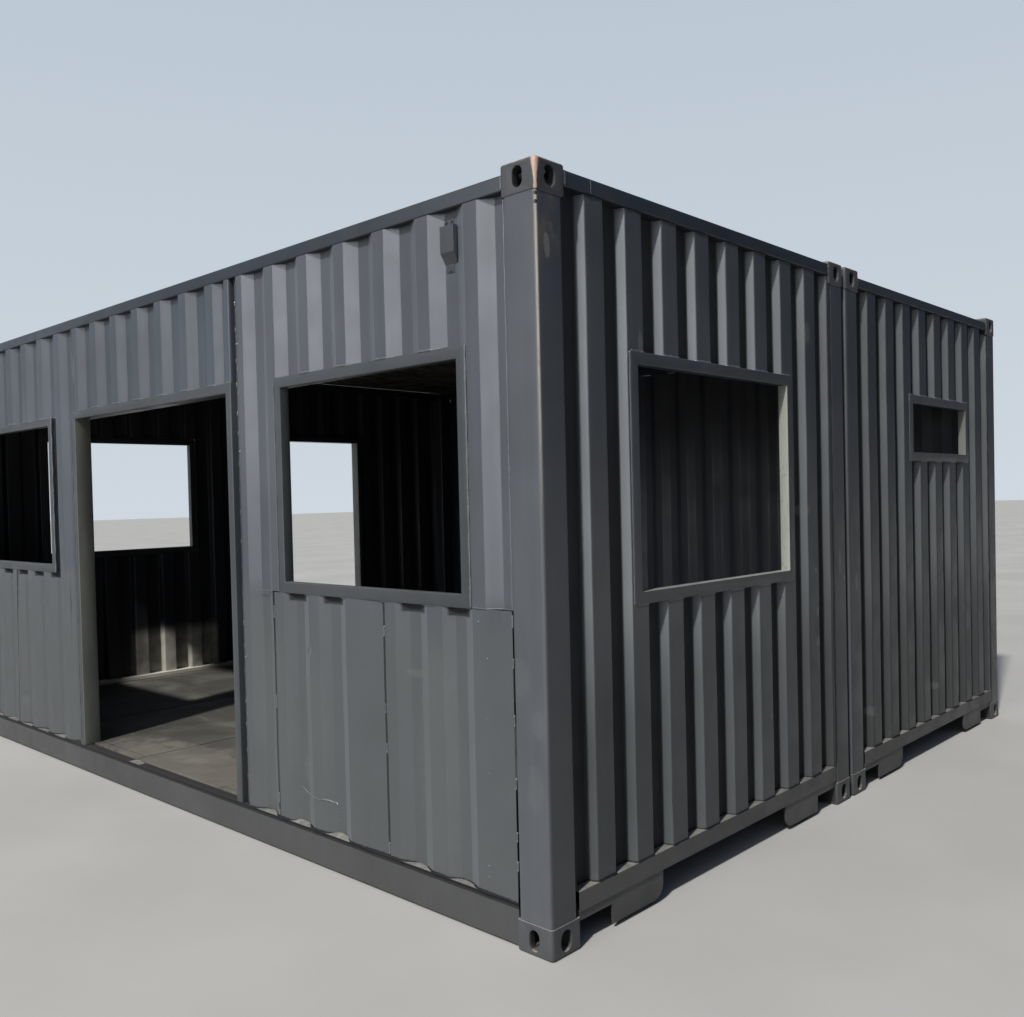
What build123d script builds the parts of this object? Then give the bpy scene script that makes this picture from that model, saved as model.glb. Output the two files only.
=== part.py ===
from build123d import *
import math
import os

os.makedirs("parts", exist_ok=True)

# ---------------------------------------------------------------- dimensions
# Frame: X runs along the units, Y across them (front wall faces -Y), Z up.
# The origin is the middle of the footprint on the ground. All values in mm.
LENGTH = 6058.0            # outside length over the corner castings
UNIT_WIDTH = 2438.0        # outside width of one unit
HEIGHT = 2896.0            # outside height over the corner castings
UNIT_GAP = 38.0            # space left between the two units
HALF_L = LENGTH / 2
HALF_W = UNIT_WIDTH + UNIT_GAP / 2

CAST_L, CAST_W, CAST_H = 178.0, 162.0, 118.0     # corner casting
CAST_R, CAST_RIM = 14.0, 11.0                    # its rounded corners and rim
POST_L, POST_W = 165.0, 144.0                    # corner post, X and Y size
POST_T = 5.0
POST_INSET = 3.0
POST_R = 16.0

RAIL_TOP_Z0, RAIL_TOP_Z1 = 2803.0, 2863.0        # top side rail
RAIL_INSET, RAIL_W, TUBE_T = 4.0, 60.0, 3.0
END_RAIL = {-1: (2819.0, 2879.0), 1: (2804.0, 2859.0)}   # top end rails, front and rear unit
END_RAIL_D = 68.0

BOT_RAIL_Z0, BOT_RAIL_Z1 = 12.5, 174.5           # bottom side rail
BOT_RAIL_T = 4.5
FLOOR_TOP = 180.0
FLOOR_T = 28.0
CROSS_H, CROSS_W, CROSS_T = 122.0, 45.0, 4.0

SILL_Z0, SILL_Z1 = 131.0, 210.0                  # bottom end sill
SILL_D = 86.0

SHEET = 2.0                                      # corrugated sheet
SIDE_FLAT_IN = 6.0                               # outer flats behind the casting face
SIDE_PITCH, SIDE_OUT, SIDE_SLOPE, SIDE_IN, SIDE_DEPTH = 278.0, 72.0, 68.0, 70.0, 32.0
SIDE_FIRST = 2822.0                              # middle of the first recess
END_FLAT_IN = 9.0
END_OUT, END_SLOPE, END_DEPTH = 110.0, 17.5, 45.6
# pitch of the end walls and the middle of one recess, from the unit's middle
END_WAVES = {"front_right": (248.0, -15.0), "front_left": (250.0, 125.0),
             "rear_right": (250.0, 6.0), "rear_left": (250.0, 125.0)}
ROOF_PITCH, ROOF_OUT, ROOF_SLOPE, ROOF_IN, ROOF_DEPTH = 209.0, 91.0, 13.5, 91.0, 20.0
ROOF_FIRST, ROOF_MARGIN = 104.5, 85.0             # flat margins at the rails

FRAME_T = 51.0                                   # opening frame tube, face width
FRAME_D = 51.0
DOOR_D = 100.0
WIN_Z0, WIN_Z1 = 1257.0, 2273.0                  # outside of the window frames
DOOR_HEAD = 2289.0                               # top of the front door frame
BACK_DOOR_HEAD = 2336.0                          # top of the end door frame

# outside edges of the frames, X on the front wall (right to left)
R_WIN_X1, R_WIN_X0 = 2638.0, 1317.0
DOOR_X1, DOOR_X0 = 930.0, -1000.0
L_WIN_X1, L_WIN_X0 = -1321.0, -2642.0
# outside edges of the frames, Y on the end walls
END_WIN_Y0, END_WIN_Y1, END_WIN_Z0, END_WIN_Z1 = -1916.0, -595.0, 1240.0, 2256.0
LEFT_WIN_Y0, LEFT_WIN_Y1 = -1898.5, -577.5
SMALL_Y0, SMALL_Y1, SMALL_Z0, SMALL_Z1 = 890.0, 1906.0, 1854.5, 2260.5
BACK_DOOR_Y0, BACK_DOOR_Y1 = 186.0, 1249.0

PATCH_TOP = 1262.0                               # top of the patched lower wall
PATCH_MID0, PATCH_MID1 = 2104.0, 2100.0          # joint between the two patches
PATCH_END0, PATCH_END1 = 1268.0, 1264.0          # joint beside the left patch
# the patched sheets are shallower: bends (X, depth) from left to right
PATCH_LEFT = [(PATCH_END0, 0.0), (1345.0, 0.0), (1424.0, 23.0), (1486.0, 23.0), (1553.0, 0.0),
              (1629.0, 0.0), (1698.0, 23.0), (1770.0, 23.0), (1833.0, 0.0), (1930.0, 0.0),
              (PATCH_MID1, 7.5)]
PATCH_RIGHT = [(PATCH_MID0, 0.0), (2176.0, 0.0), (2247.0, 23.0), (2315.0, 23.0), (2379.0, 0.0),
               (2470.0, 0.0), (2526.0, 23.0), (2586.0, 23.0), (2645.0, 0.0), (2858.0, 0.0)]

WALL_X = HALF_L - POST_INSET - POST_L            # inner edge of the posts, 2861


# ------------------------------------------------------------ profile helpers
def wave(first, pitch, inner, slope, depth, lo, hi):
    """Depth profile (u, depth) between lo and hi, recess middles at first - k*pitch."""
    def value(u):
        k = round((first - u) / pitch)
        off = abs(u - (first - k * pitch))
        if off <= inner / 2:
            return depth
        if off >= inner / 2 + slope:
            return 0.0
        return depth * (1 - (off - inner / 2) / slope)
    stops = {lo, hi}
    k = math.floor((first - hi) / pitch) - 1
    while first - k * pitch > lo - pitch:
        c = first - k * pitch
        for d in (-inner / 2 - slope, -inner / 2, inner / 2, inner / 2 + slope):
            if lo < c + d < hi:
                stops.add(c + d)
        k += 1
    return [(u, value(u)) for u in sorted(stops)]


def band(line, thick):
    """Closed outline of a sheet of even thickness whose outer face is the line."""
    def normal(a, b):
        du, dv = b[0] - a[0], b[1] - a[1]
        n = math.hypot(du, dv)
        return (-dv / n, du / n)
    back = []
    for i, p in enumerate(line):
        ns = []
        if i > 0:
            ns.append(normal(line[i - 1], p))
        if i < len(line) - 1:
            ns.append(normal(p, line[i + 1]))
        if len(ns) == 1 and abs(ns[0][1]) > 0.01:
            # free end: cut square to the wall line
            back.append((p[0], p[1] + thick / ns[0][1]))
        elif len(ns) == 1:
            back.append((p[0] + ns[0][0] * thick, p[1] + ns[0][1] * thick))
        else:
            sx, sy = ns[0][0] + ns[1][0], ns[0][1] + ns[1][1]
            d = (sx * sx + sy * sy) / 2
            back.append((p[0] + sx * thick / d, p[1] + sy * thick / d))
    return line + back[::-1]


def side_line(lo, hi):
    return wave(SIDE_FIRST, SIDE_PITCH, SIDE_IN, SIDE_SLOPE, SIDE_DEPTH, lo, hi)


def front_outline(line):
    """Outline on the ground plane of a front wall sheet."""
    y = -HALF_W + SIDE_FLAT_IN
    return [(u, y + v) for u, v in band(line, SHEET)]


def end_line(label, unit_middle, lo, hi):
    pitch, shift = END_WAVES[label]
    recess = pitch - END_OUT - 2 * END_SLOPE
    return wave(unit_middle + shift, pitch, recess, END_SLOPE, END_DEPTH, lo, hi)


def end_outline(line, sign):
    """Outline on the ground plane of an end wall sheet, sign +1 right, -1 left."""
    x = HALF_L - END_FLAT_IN
    return [(sign * (x - v), u) for u, v in band(line, SHEET)]


# unit = -1 is the front unit, +1 the rear unit
def unit_y(unit, inward):
    """Y of a line that lies inward of the outer long face of a unit."""
    return unit * (HALF_W - inward)


UNITS = {"front": -1, "rear": 1}


# ----------------------------------------------------------- corner castings
def casting_y(unit, side):
    """Middle Y of a casting: side 0 on the outer long face, 1 on the inner."""
    near = CAST_W / 2 if side == 0 else UNIT_WIDTH - CAST_W / 2
    return unit_y(unit, near)


for label, unit in UNITS.items():
    for level in ("top", "bottom"):
        z0 = HEIGHT - CAST_H if level == "top" else 0.0
        with BuildPart() as castings:
            with BuildSketch(Plane.XY.offset(z0)):
                with Locations(*[(sx * (HALF_L - CAST_L / 2), casting_y(unit, side))
                                 for sx in (1, -1) for side in (0, 1)]):
                    RectangleRounded(CAST_L, CAST_W, CAST_R)
            extrude(amount=CAST_H)
            # rounded rim on the free face
            rim = castings.faces().sort_by(Axis.Z)
            rim = rim[-4:] if level == "top" else rim[:4]
            fillet(rim.edges(), radius=CAST_RIM)
            for sx in (1, -1):
                for side in (0, 1):
                    cx = sx * (HALF_L - CAST_L / 2)
                    cy = casting_y(unit, side)
                    out_y = unit if side == 0 else -unit
                    # inside space: thick outer walls, thinner inner walls
                    with BuildSketch(Plane.XY.offset(z0 + (15 if level == "top" else 28))):
                        with Locations((cx - sx * 9, cy - out_y * 9)):
                            Rectangle(CAST_L - 42, CAST_W - 42)
                    extrude(amount=CAST_H - 43, mode=Mode.SUBTRACT)
                    # opening on the top or bottom face
                    hole_z = HEIGHT - 40 if level == "top" else -10.0
                    with BuildSketch(Plane.XY.offset(hole_z)):
                        with Locations((sx * (HALF_L - 101.5), cy + out_y * (CAST_W / 2 - 89))):
                            SlotOverall(124.5, 63.5)
                    extrude(amount=50, mode=Mode.SUBTRACT)
                    # opening on the end face
                    with BuildSketch(Plane.YZ.offset(sx * (HALF_L - 15))):
                        with Locations((cy + out_y * 3, z0 + CAST_H / 2)):
                            SlotOverall(79.5, 60.0, rotation=90)
                    extrude(amount=40, both=True, mode=Mode.SUBTRACT)
                    # opening on the long face
                    with BuildSketch(Plane.XZ.offset(-(cy + out_y * (CAST_W / 2 - 15)))):
                        with Locations((cx, z0 + CAST_H / 2)):
                            SlotOverall(79.5, 51.0, rotation=90)
                    extrude(amount=38, both=True, mode=Mode.SUBTRACT)
        castings.part.label = f"{label}_{level}_castings"
        export_step(castings.part, f"parts/{label}_{level}_castings.step")

# -------------------------------------------------------------- corner posts
for label, unit in UNITS.items():
    with BuildPart() as posts:
        for sx in (1, -1):
            for side in (0, 1):
                near = POST_INSET + POST_W / 2
                if side == 1:
                    near = UNIT_WIDTH - near
                with BuildSketch(Plane.XY.offset(CAST_H)):
                    with Locations((sx * (HALF_L - POST_INSET - POST_L / 2), unit_y(unit, near))):
                        RectangleRounded(POST_L, POST_W, POST_R)
                        RectangleRounded(POST_L - 2 * POST_T, POST_W - 2 * POST_T,
                                         POST_R - POST_T, mode=Mode.SUBTRACT)
                extrude(amount=HEIGHT - 2 * CAST_H)
    posts.part.label = f"{label}_corner_posts"
    export_step(posts.part, f"parts/{label}_corner_posts.step")

# ------------------------------------------------------------- top side rails
RAIL_LEN = LENGTH - 2 * CAST_L
for label, unit in UNITS.items():
    with BuildPart() as top_rails:
        for near in (RAIL_INSET + RAIL_W / 2, UNIT_WIDTH - RAIL_INSET - RAIL_W / 2):
            with BuildSketch(Plane.YZ.offset(-RAIL_LEN / 2)):
                with Locations((unit_y(unit, near), (RAIL_TOP_Z0 + RAIL_TOP_Z1) / 2)):
                    RectangleRounded(RAIL_W, RAIL_TOP_Z1 - RAIL_TOP_Z0, 6)
                    Rectangle(RAIL_W - 2 * TUBE_T, RAIL_TOP_Z1 - RAIL_TOP_Z0 - 2 * TUBE_T,
                              mode=Mode.SUBTRACT)
            extrude(amount=RAIL_LEN)
    top_rails.part.label = f"{label}_top_side_rails"
    export_step(top_rails.part, f"parts/{label}_top_side_rails.step")

    # top end rails between the castings
    with BuildPart() as end_rails:
        for sx in (1, -1):
            with BuildSketch(Plane.XZ.offset(-unit_y(unit, CAST_W if unit == 1 else UNIT_WIDTH - CAST_W))):
                low, high = END_RAIL[unit]
                with Locations((sx * (HALF_L - RAIL_INSET - END_RAIL_D / 2), (low + high) / 2)):
                    RectangleRounded(END_RAIL_D, high - low, 6)
                    Rectangle(END_RAIL_D - 2 * TUBE_T, high - low - 2 * TUBE_T,
                              mode=Mode.SUBTRACT)
            extrude(amount=UNIT_WIDTH - 2 * CAST_W)
    end_rails.part.label = f"{label}_top_end_rails"
    export_step(end_rails.part, f"parts/{label}_top_end_rails.step")

# --------------------------------------------------------- bottom side rails
for label, unit in UNITS.items():
    with BuildPart() as bottom_rails:
        for side in (0, 1):
            def yy(v):
                return unit_y(unit, v if side == 0 else UNIT_WIDTH - v)
            outline = [(3, BOT_RAIL_Z1), (53, BOT_RAIL_Z1), (53, BOT_RAIL_Z1 - BOT_RAIL_T),
                       (14 + BOT_RAIL_T, BOT_RAIL_Z1 - BOT_RAIL_T),
                       (14 + BOT_RAIL_T, BOT_RAIL_Z0 + BOT_RAIL_T),
                       (62, BOT_RAIL_Z0 + BOT_RAIL_T), (62, BOT_RAIL_Z0), (14, BOT_RAIL_Z0),
                       (14, BOT_RAIL_Z1 - BOT_RAIL_T), (3, BOT_RAIL_Z1 - BOT_RAIL_T)]
            with BuildSketch(Plane.YZ.offset(-RAIL_LEN / 2)):
                with BuildLine():
                    Polyline(*[(yy(a), b) for a, b in outline], close=True)
                make_face()
            extrude(amount=RAIL_LEN)
    bottom_rails.part.label = f"{label}_bottom_side_rails"
    export_step(bottom_rails.part, f"parts/{label}_bottom_side_rails.step")

# --------------------------------------------- end sills and the plates below
for label, unit in UNITS.items():
    mid = unit_y(unit, UNIT_WIDTH / 2)
    half = UNIT_WIDTH / 2 - CAST_W
    with BuildPart() as sills:
        for sx in (1, -1):
            with BuildSketch(Plane.XZ.offset(-(mid + half))):
                with Locations((sx * (HALF_L - RAIL_INSET - SILL_D / 2), (SILL_Z0 + SILL_Z1) / 2)):
                    RectangleRounded(SILL_D, SILL_Z1 - SILL_Z0, 5)
                    Rectangle(SILL_D - 8, SILL_Z1 - SILL_Z0 - 8, mode=Mode.SUBTRACT)
            extrude(amount=2 * half)
    sills.part.label = f"{label}_end_sills"
    export_step(sills.part, f"parts/{label}_end_sills.step")

    # plates either side of the tunnel recess, rounded at the tunnel, notched
    # beside the casting
    with BuildPart() as plates:
        for sx in (1, -1):
            for s in (1, -1):
                def py(v):
                    return mid + s * v
                with BuildSketch(Plane.YZ.offset(sx * (HALF_L - 16))):
                    with BuildLine():
                        Polyline((py(half - 2), SILL_Z0), (py(half - 2), 98), (py(half - 200), 98),
                                 (py(half - 205), 20), (py(519 + 60), 20))
                        RadiusArc((py(519 + 60), 20), (py(519), 80), 60 * s)
                        Polyline((py(519), 80), (py(519), SILL_Z0), (py(half - 2), SILL_Z0))
                    make_face()
                extrude(amount=5, both=True)
    plates.part.label = f"{label}_tunnel_plates"
    export_step(plates.part, f"parts/{label}_tunnel_plates.step")

# ------------------------------------------------------ cross members, floor
CROSS_X = [2700.0 - 300.0 * i for i in range(19)]
JOINTS = [HALF_L - 90.0, 2098.0, 878.0, -342.0, -1562.0, -2782.0, -HALF_L + 90.0]
for label, unit in UNITS.items():
    mid = unit_y(unit, UNIT_WIDTH / 2)
    span = UNIT_WIDTH - 2 * 19.0
    z0 = FLOOR_TOP - FLOOR_T - CROSS_H
    with BuildPart() as cross:
        with BuildSketch(Plane.XZ.offset(-(mid + span / 2))):
            for x in CROSS_X:
                with BuildLine():
                    Polyline((x, z0), (x + CROSS_W, z0), (x + CROSS_W, z0 + CROSS_T),
                             (x + CROSS_T, z0 + CROSS_T), (x + CROSS_T, z0 + CROSS_H - CROSS_T),
                             (x + CROSS_W, z0 + CROSS_H - CROSS_T), (x + CROSS_W, z0 + CROSS_H),
                             (x, z0 + CROSS_H), close=True)
                make_face()
        extrude(amount=span)
    cross.part.label = f"{label}_cross_members"
    export_step(cross.part, f"parts/{label}_cross_members.step")

    with BuildPart() as floor:
        with BuildSketch(Plane.XY.offset(FLOOR_TOP - FLOOR_T)):
            for a, b in zip(JOINTS[:-1], JOINTS[1:]):
                with Locations(((a + b) / 2, mid)):
                    Rectangle(a - b - 5, UNIT_WIDTH - 2 * 64)
        extrude(amount=FLOOR_T)
        # corners cut back round the posts
        with BuildSketch(Plane.XY.offset(FLOOR_TOP - FLOOR_T - 1)):
            for sx in (1, -1):
                for s in (1, -1):
                    with Locations((sx * (HALF_L - 90), mid + s * (UNIT_WIDTH / 2 - 81))):
                        Rectangle(182, 170)
            if unit == -1:
                # notches for the feet of the front door frame
                for x in (DOOR_X0 + FRAME_T / 2, DOOR_X1 - FRAME_T / 2):
                    with Locations((x, -HALF_W + RAIL_INSET + DOOR_D / 2)):
                        Rectangle(FRAME_T + 2, DOOR_D + 2)
        extrude(amount=FLOOR_T + 2, mode=Mode.SUBTRACT)
    floor.part.label = f"{label}_floor_boards"
    export_step(floor.part, f"parts/{label}_floor_boards.step")

# ---------------------------------------------------------------------- roof
ROOF_X = HALF_L - CAST_L
for label, unit in UNITS.items():
    mid = unit_y(unit, UNIT_WIDTH / 2)
    line = wave(ROOF_FIRST, ROOF_PITCH, ROOF_IN, ROOF_SLOPE, ROOF_DEPTH, -ROOF_X, ROOF_X)
    # band() puts the thickness on the side of growing depth: the sheet's top
    # face is the line, its crests are the outer flats
    outline = [(u, RAIL_TOP_Z1 + SHEET + ROOF_DEPTH - v) for u, v in band(line, SHEET)]
    closed = [(u, RAIL_TOP_Z1 + SHEET + ROOF_DEPTH - v) for u, v in line]
    closed += [(ROOF_X, RAIL_TOP_Z1), (-ROOF_X, RAIL_TOP_Z1)]
    span = UNIT_WIDTH / 2 - 20 - ROOF_MARGIN
    with BuildPart() as roof:
        with BuildSketch(Plane.XZ.offset(-(mid + span))):
            with BuildLine():
                Polyline(*outline, close=True)
            make_face()
        extrude(amount=2 * span)
        # the crests are closed where the flat margins begin
        for y in (mid + span, mid - span + SHEET):
            with BuildSketch(Plane.XZ.offset(-y)):
                with BuildLine():
                    Polyline(*closed, close=True)
                make_face()
            extrude(amount=SHEET)
        with BuildSketch(Plane.XY.offset(RAIL_TOP_Z1)):
            for s in (1, -1):
                with Locations((0, mid + s * (span + ROOF_MARGIN / 2))):
                    Rectangle(2 * ROOF_X, ROOF_MARGIN)
        extrude(amount=SHEET)
    roof.part.label = f"{label}_roof"
    export_step(roof.part, f"parts/{label}_roof.step")

    # plates between the roof sheet and the end rails: beside the rail on the
    # front unit, lying on the lower rail on the rear unit
    outer = HALF_L - RAIL_INSET - (END_RAIL_D if unit == -1 else END_RAIL_D / 2)
    with BuildPart() as header:
        with BuildSketch(Plane.XY.offset(RAIL_TOP_Z1 if unit == -1 else END_RAIL[unit][1])):
            for sx in (1, -1):
                with Locations((sx * (ROOF_X + outer) / 2, mid)):
                    Rectangle(outer - ROOF_X - 1, UNIT_WIDTH - 2 * CAST_W)
        extrude(amount=4)
    header.part.label = f"{label}_roof_end_plates"
    export_step(header.part, f"parts/{label}_roof_end_plates.step")

# ---------------------------------------------------------- front wall sheets
WALL_Z0, WALL_Z1 = BOT_RAIL_Z1, RAIL_TOP_Z0

# over the two windows and the door; the door panel turns back at its right edge
with BuildPart() as headers:
    for lo, hi in ((R_WIN_X0, R_WIN_X1), (L_WIN_X0, L_WIN_X1)):
        with BuildSketch(Plane.XY.offset(WIN_Z1)):
            with BuildLine():
                Polyline(*front_outline(side_line(lo, hi)), close=True)
            make_face()
        extrude(amount=WALL_Z1 - WIN_Z1)
    door_line = side_line(-951.0, 827.0)
    door_line += [(876.0, SIDE_DEPTH), (878.0, 0.0), (929.0, 0.0), (929.0, SIDE_DEPTH)]
    with BuildSketch(Plane.XY.offset(DOOR_HEAD)):
        with BuildLine():
            Polyline(*front_outline(door_line), close=True)
        make_face()
    extrude(amount=WALL_Z1 - DOOR_HEAD)
headers.part.label = "front_wall_over_openings"
export_step(headers.part, "parts/front_wall_over_openings.step")

# full height piers and the strips beside the corner posts
CAST_Z = HEIGHT - CAST_H       # the sheets are narrower beside the top castings
CAST_X = HALF_L - CAST_L
with BuildPart() as piers:
    for lo_z, hi_z, edge in ((PATCH_TOP, CAST_Z, WALL_X), (CAST_Z, WALL_Z1, CAST_X)):
        with BuildSketch(Plane.XY.offset(lo_z)):
            with BuildLine():
                Polyline(*front_outline(side_line(R_WIN_X1, edge)), close=True)
            make_face()
        extrude(amount=hi_z - lo_z)
    # pier between the right window and the door, with a set-back closing strip
    tail = [(930.5, SIDE_DEPTH), (996.0, SIDE_DEPTH), (999.0, 0.0)]
    for lo_z, hi_z, edge in ((WALL_Z0, PATCH_TOP, PATCH_END1), (PATCH_TOP, WALL_Z1, R_WIN_X0)):
        with BuildSketch(Plane.XY.offset(lo_z)):
            with BuildLine():
                Polyline(*front_outline(tail + side_line(1001.0, edge)), close=True)
            make_face()
        extrude(amount=hi_z - lo_z)
    # pier between the door and the left window
    for lo_z, hi_z, edge in ((WALL_Z0, DOOR_HEAD, DOOR_X0), (DOOR_HEAD, WALL_Z1, -955.0)):
        with BuildSketch(Plane.XY.offset(lo_z)):
            with BuildLine():
                Polyline(*front_outline(side_line(L_WIN_X1, edge)), close=True)
            make_face()
        extrude(amount=hi_z - lo_z)
    for lo_z, hi_z, edge in ((WALL_Z0, CAST_Z, -WALL_X), (CAST_Z, WALL_Z1, -CAST_X)):
        with BuildSketch(Plane.XY.offset(lo_z)):
            with BuildLine():
                Polyline(*front_outline(side_line(edge, L_WIN_X0)), close=True)
            make_face()
        extrude(amount=hi_z - lo_z)
piers.part.label = "front_wall_piers"
export_step(piers.part, "parts/front_wall_piers.step")

# under the windows: two patched sheets on the right, one sheet on the left
with BuildPart() as under:
    for patch in (PATCH_LEFT, PATCH_RIGHT):
        with BuildSketch(Plane.XY.offset(WALL_Z0)):
            with BuildLine():
                Polyline(*front_outline(patch), close=True)
            make_face()
        extrude(amount=WIN_Z0 - WALL_Z0)
    with BuildSketch(Plane.XY.offset(WALL_Z0)):
        with BuildLine():
            Polyline(*front_outline(side_line(L_WIN_X0, L_WIN_X1)), close=True)
        make_face()
    extrude(amount=WIN_Z0 - WALL_Z0)
under.part.label = "front_wall_under_windows"
export_step(under.part, "parts/front_wall_under_windows.step")

# ---------------------------------------------------------------- back wall
with BuildPart() as back_wall:
    for lo_z, hi_z, edge in ((WALL_Z0, CAST_Z, WALL_X), (CAST_Z, WALL_Z1, CAST_X)):
        with BuildSketch(Plane.XY.offset(lo_z)):
            with BuildLine():
                Polyline(*[(u, -v) for u, v in front_outline(side_line(-edge, edge))], close=True)
            make_face()
        extrude(amount=hi_z - lo_z)
back_wall.part.label = "back_wall"
export_step(back_wall.part, "parts/back_wall.step")

# ----------------------------------------------------------------- end walls
END_Z0 = SILL_Z1
ENDS = {
    # label: (unit, sign, opening y0, y1, z0, z1)
    "front_right": (-1, 1, END_WIN_Y0, END_WIN_Y1, END_WIN_Z0, END_WIN_Z1),
    "front_left": (-1, -1, LEFT_WIN_Y0, LEFT_WIN_Y1, WIN_Z0, WIN_Z1),
    "rear_right": (1, 1, SMALL_Y0, SMALL_Y1, SMALL_Z0, SMALL_Z1),
    "rear_left": (1, -1, BACK_DOOR_Y0, BACK_DOOR_Y1, END_Z0, BACK_DOOR_HEAD),
}
for label, (unit, sign, y0, y1, z0, z1) in ENDS.items():
    mid = unit_y(unit, UNIT_WIDTH / 2)
    END_Z1 = END_RAIL[unit][0]
    lo, hi = mid - UNIT_WIDTH / 2 + POST_INSET + POST_W, mid + UNIT_WIDTH / 2 - POST_INSET - POST_W
    step = CAST_W - POST_INSET - POST_W
    with BuildPart() as sides:
        for a, b in ((lo, y0), (y1, hi)):
            for z_a, z_b, cut in ((END_Z0, CAST_Z, 0.0), (CAST_Z, END_Z1, step)):
                with BuildSketch(Plane.XY.offset(z_a)):
                    with BuildLine():
                        Polyline(*end_outline(end_line(label, mid, a + (cut if a == lo else 0),
                                                       b - (cut if b == hi else 0)), sign),
                                 close=True)
                    make_face()
                extrude(amount=z_b - z_a)
    sides.part.label = f"{label}_end_wall_sides"
    export_step(sides.part, f"parts/{label}_end_wall_sides.step")

    with BuildPart() as middle:
        for a, b in ((END_Z0, z0), (z1, END_Z1)):
            if b - a > 1:
                with BuildSketch(Plane.XY.offset(a)):
                    with BuildLine():
                        Polyline(*end_outline(end_line(label, mid, y0, y1), sign), close=True)
                    make_face()
                extrude(amount=b - a)
    middle.part.label = f"{label}_end_wall_middle"
    export_step(middle.part, f"parts/{label}_end_wall_middle.step")

# ------------------------------------------------------------ opening frames
def front_frame(name, x0, x1, z0, z1, depth, sill):
    with BuildPart() as frame:
        with BuildSketch(Plane.XZ.offset(HALF_W - RAIL_INSET)):
            with Locations(((x0 + x1) / 2, (z0 + z1) / 2)):
                Rectangle(x1 - x0, z1 - z0)
            drop = FRAME_T if sill else 0.0
            with Locations(((x0 + x1) / 2, (z0 + drop + z1 - FRAME_T) / 2)):
                Rectangle(x1 - x0 - 2 * FRAME_T, z1 - z0 - FRAME_T - drop, mode=Mode.SUBTRACT)
        extrude(amount=-depth)
    frame.part.label = name
    export_step(frame.part, f"parts/{name}.step")


def end_frame(name, sign, y0, y1, z0, z1, depth, sill):
    with BuildPart() as frame:
        with BuildSketch(Plane.YZ.offset(sign * (HALF_L - RAIL_INSET))):
            with Locations(((y0 + y1) / 2, (z0 + z1) / 2)):
                Rectangle(y1 - y0, z1 - z0)
            drop = FRAME_T if sill else 0.0
            with Locations(((y0 + y1) / 2, (z0 + drop + z1 - FRAME_T) / 2)):
                Rectangle(y1 - y0 - 2 * FRAME_T, z1 - z0 - FRAME_T - drop, mode=Mode.SUBTRACT)
        extrude(amount=-sign * depth)
    frame.part.label = name
    export_step(frame.part, f"parts/{name}.step")


front_frame("front_right_window_frame", R_WIN_X0, R_WIN_X1, WIN_Z0, WIN_Z1, FRAME_D, True)
front_frame("front_left_window_frame", L_WIN_X0, L_WIN_X1, WIN_Z0, WIN_Z1, FRAME_D, True)
front_frame("front_door_frame", DOOR_X0, DOOR_X1, BOT_RAIL_Z1, DOOR_HEAD, DOOR_D, False)
end_frame("right_end_window_frame", 1, END_WIN_Y0, END_WIN_Y1, END_WIN_Z0, END_WIN_Z1, FRAME_D, True)
end_frame("left_end_window_frame", -1, LEFT_WIN_Y0, LEFT_WIN_Y1, WIN_Z0, WIN_Z1, FRAME_D, True)
end_frame("small_window_frame", 1, SMALL_Y0, SMALL_Y1, SMALL_Z0, SMALL_Z1, FRAME_D, True)
end_frame("left_end_door_frame", -1, BACK_DOOR_Y0, BACK_DOOR_Y1, SILL_Z1, BACK_DOOR_HEAD, DOOR_D, False)

# -------------------------------------------------------------- vent covers
# a small hood in the second recess from the corner, on a thin plate with tabs
with BuildPart() as vents:
    for s in (-1, 1):
        def vent_x(x):
            return x + 7.0 if s == -1 else 77.0 - x

        def vent_point(x, deep):
            return (vent_x(x), s * (HALF_W - SIDE_FLAT_IN - deep))
        with BuildSketch(Plane.XY.offset(2598)):
            with BuildLine():
                Polyline(vent_point(2503, SIDE_DEPTH), vent_point(2562, SIDE_DEPTH),
                         vent_point(2580, 23), vent_point(2580, 3), vent_point(2503, 3), close=True)
            make_face()
        extrude(amount=144)
        # sloping underside
        with BuildSketch(Plane.YZ.offset(vent_x(2541) - 90)):
            with BuildLine():
                front, deep = HALF_W - SIDE_FLAT_IN - 2, HALF_W - SIDE_FLAT_IN - SIDE_DEPTH + 3
                Polyline((s * front, 2596), (s * front, 2640),
                         (s * deep, 2599), (s * deep, 2596), close=True)
            make_face()
        extrude(amount=180, mode=Mode.SUBTRACT)
        # back plate with a tab above and a narrower one below
        with BuildSketch(Plane.XZ.offset(-s * (HALF_W - SIDE_FLAT_IN - SIDE_DEPTH))):
            with Locations((vent_x(2530), 2686)):
                Rectangle(56, 180)
            with Locations((vent_x(2533), 2582)):
                Rectangle(44, 36)
        extrude(amount=-s * 2.5)
vents.part.label = "vent_covers"
export_step(vents.part, "parts/vent_covers.step")

# ------------------------------------------ strips that close the middle joint
with BuildPart() as strips:
    with BuildSketch(Plane.XY.offset(BOT_RAIL_Z1)):
        Rectangle(2 * ROOF_X, 2 * 78.0)
    extrude(amount=4)
    with BuildSketch(Plane.XY.offset(RAIL_TOP_Z1)):
        Rectangle(2 * ROOF_X, 2 * 38.0)
    extrude(amount=4)
strips.part.label = "middle_joint_strips"
export_step(strips.part, "parts/middle_joint_strips.step")
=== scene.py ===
import math

import bpy
import numpy as np
from mathutils import Matrix, Vector


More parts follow.
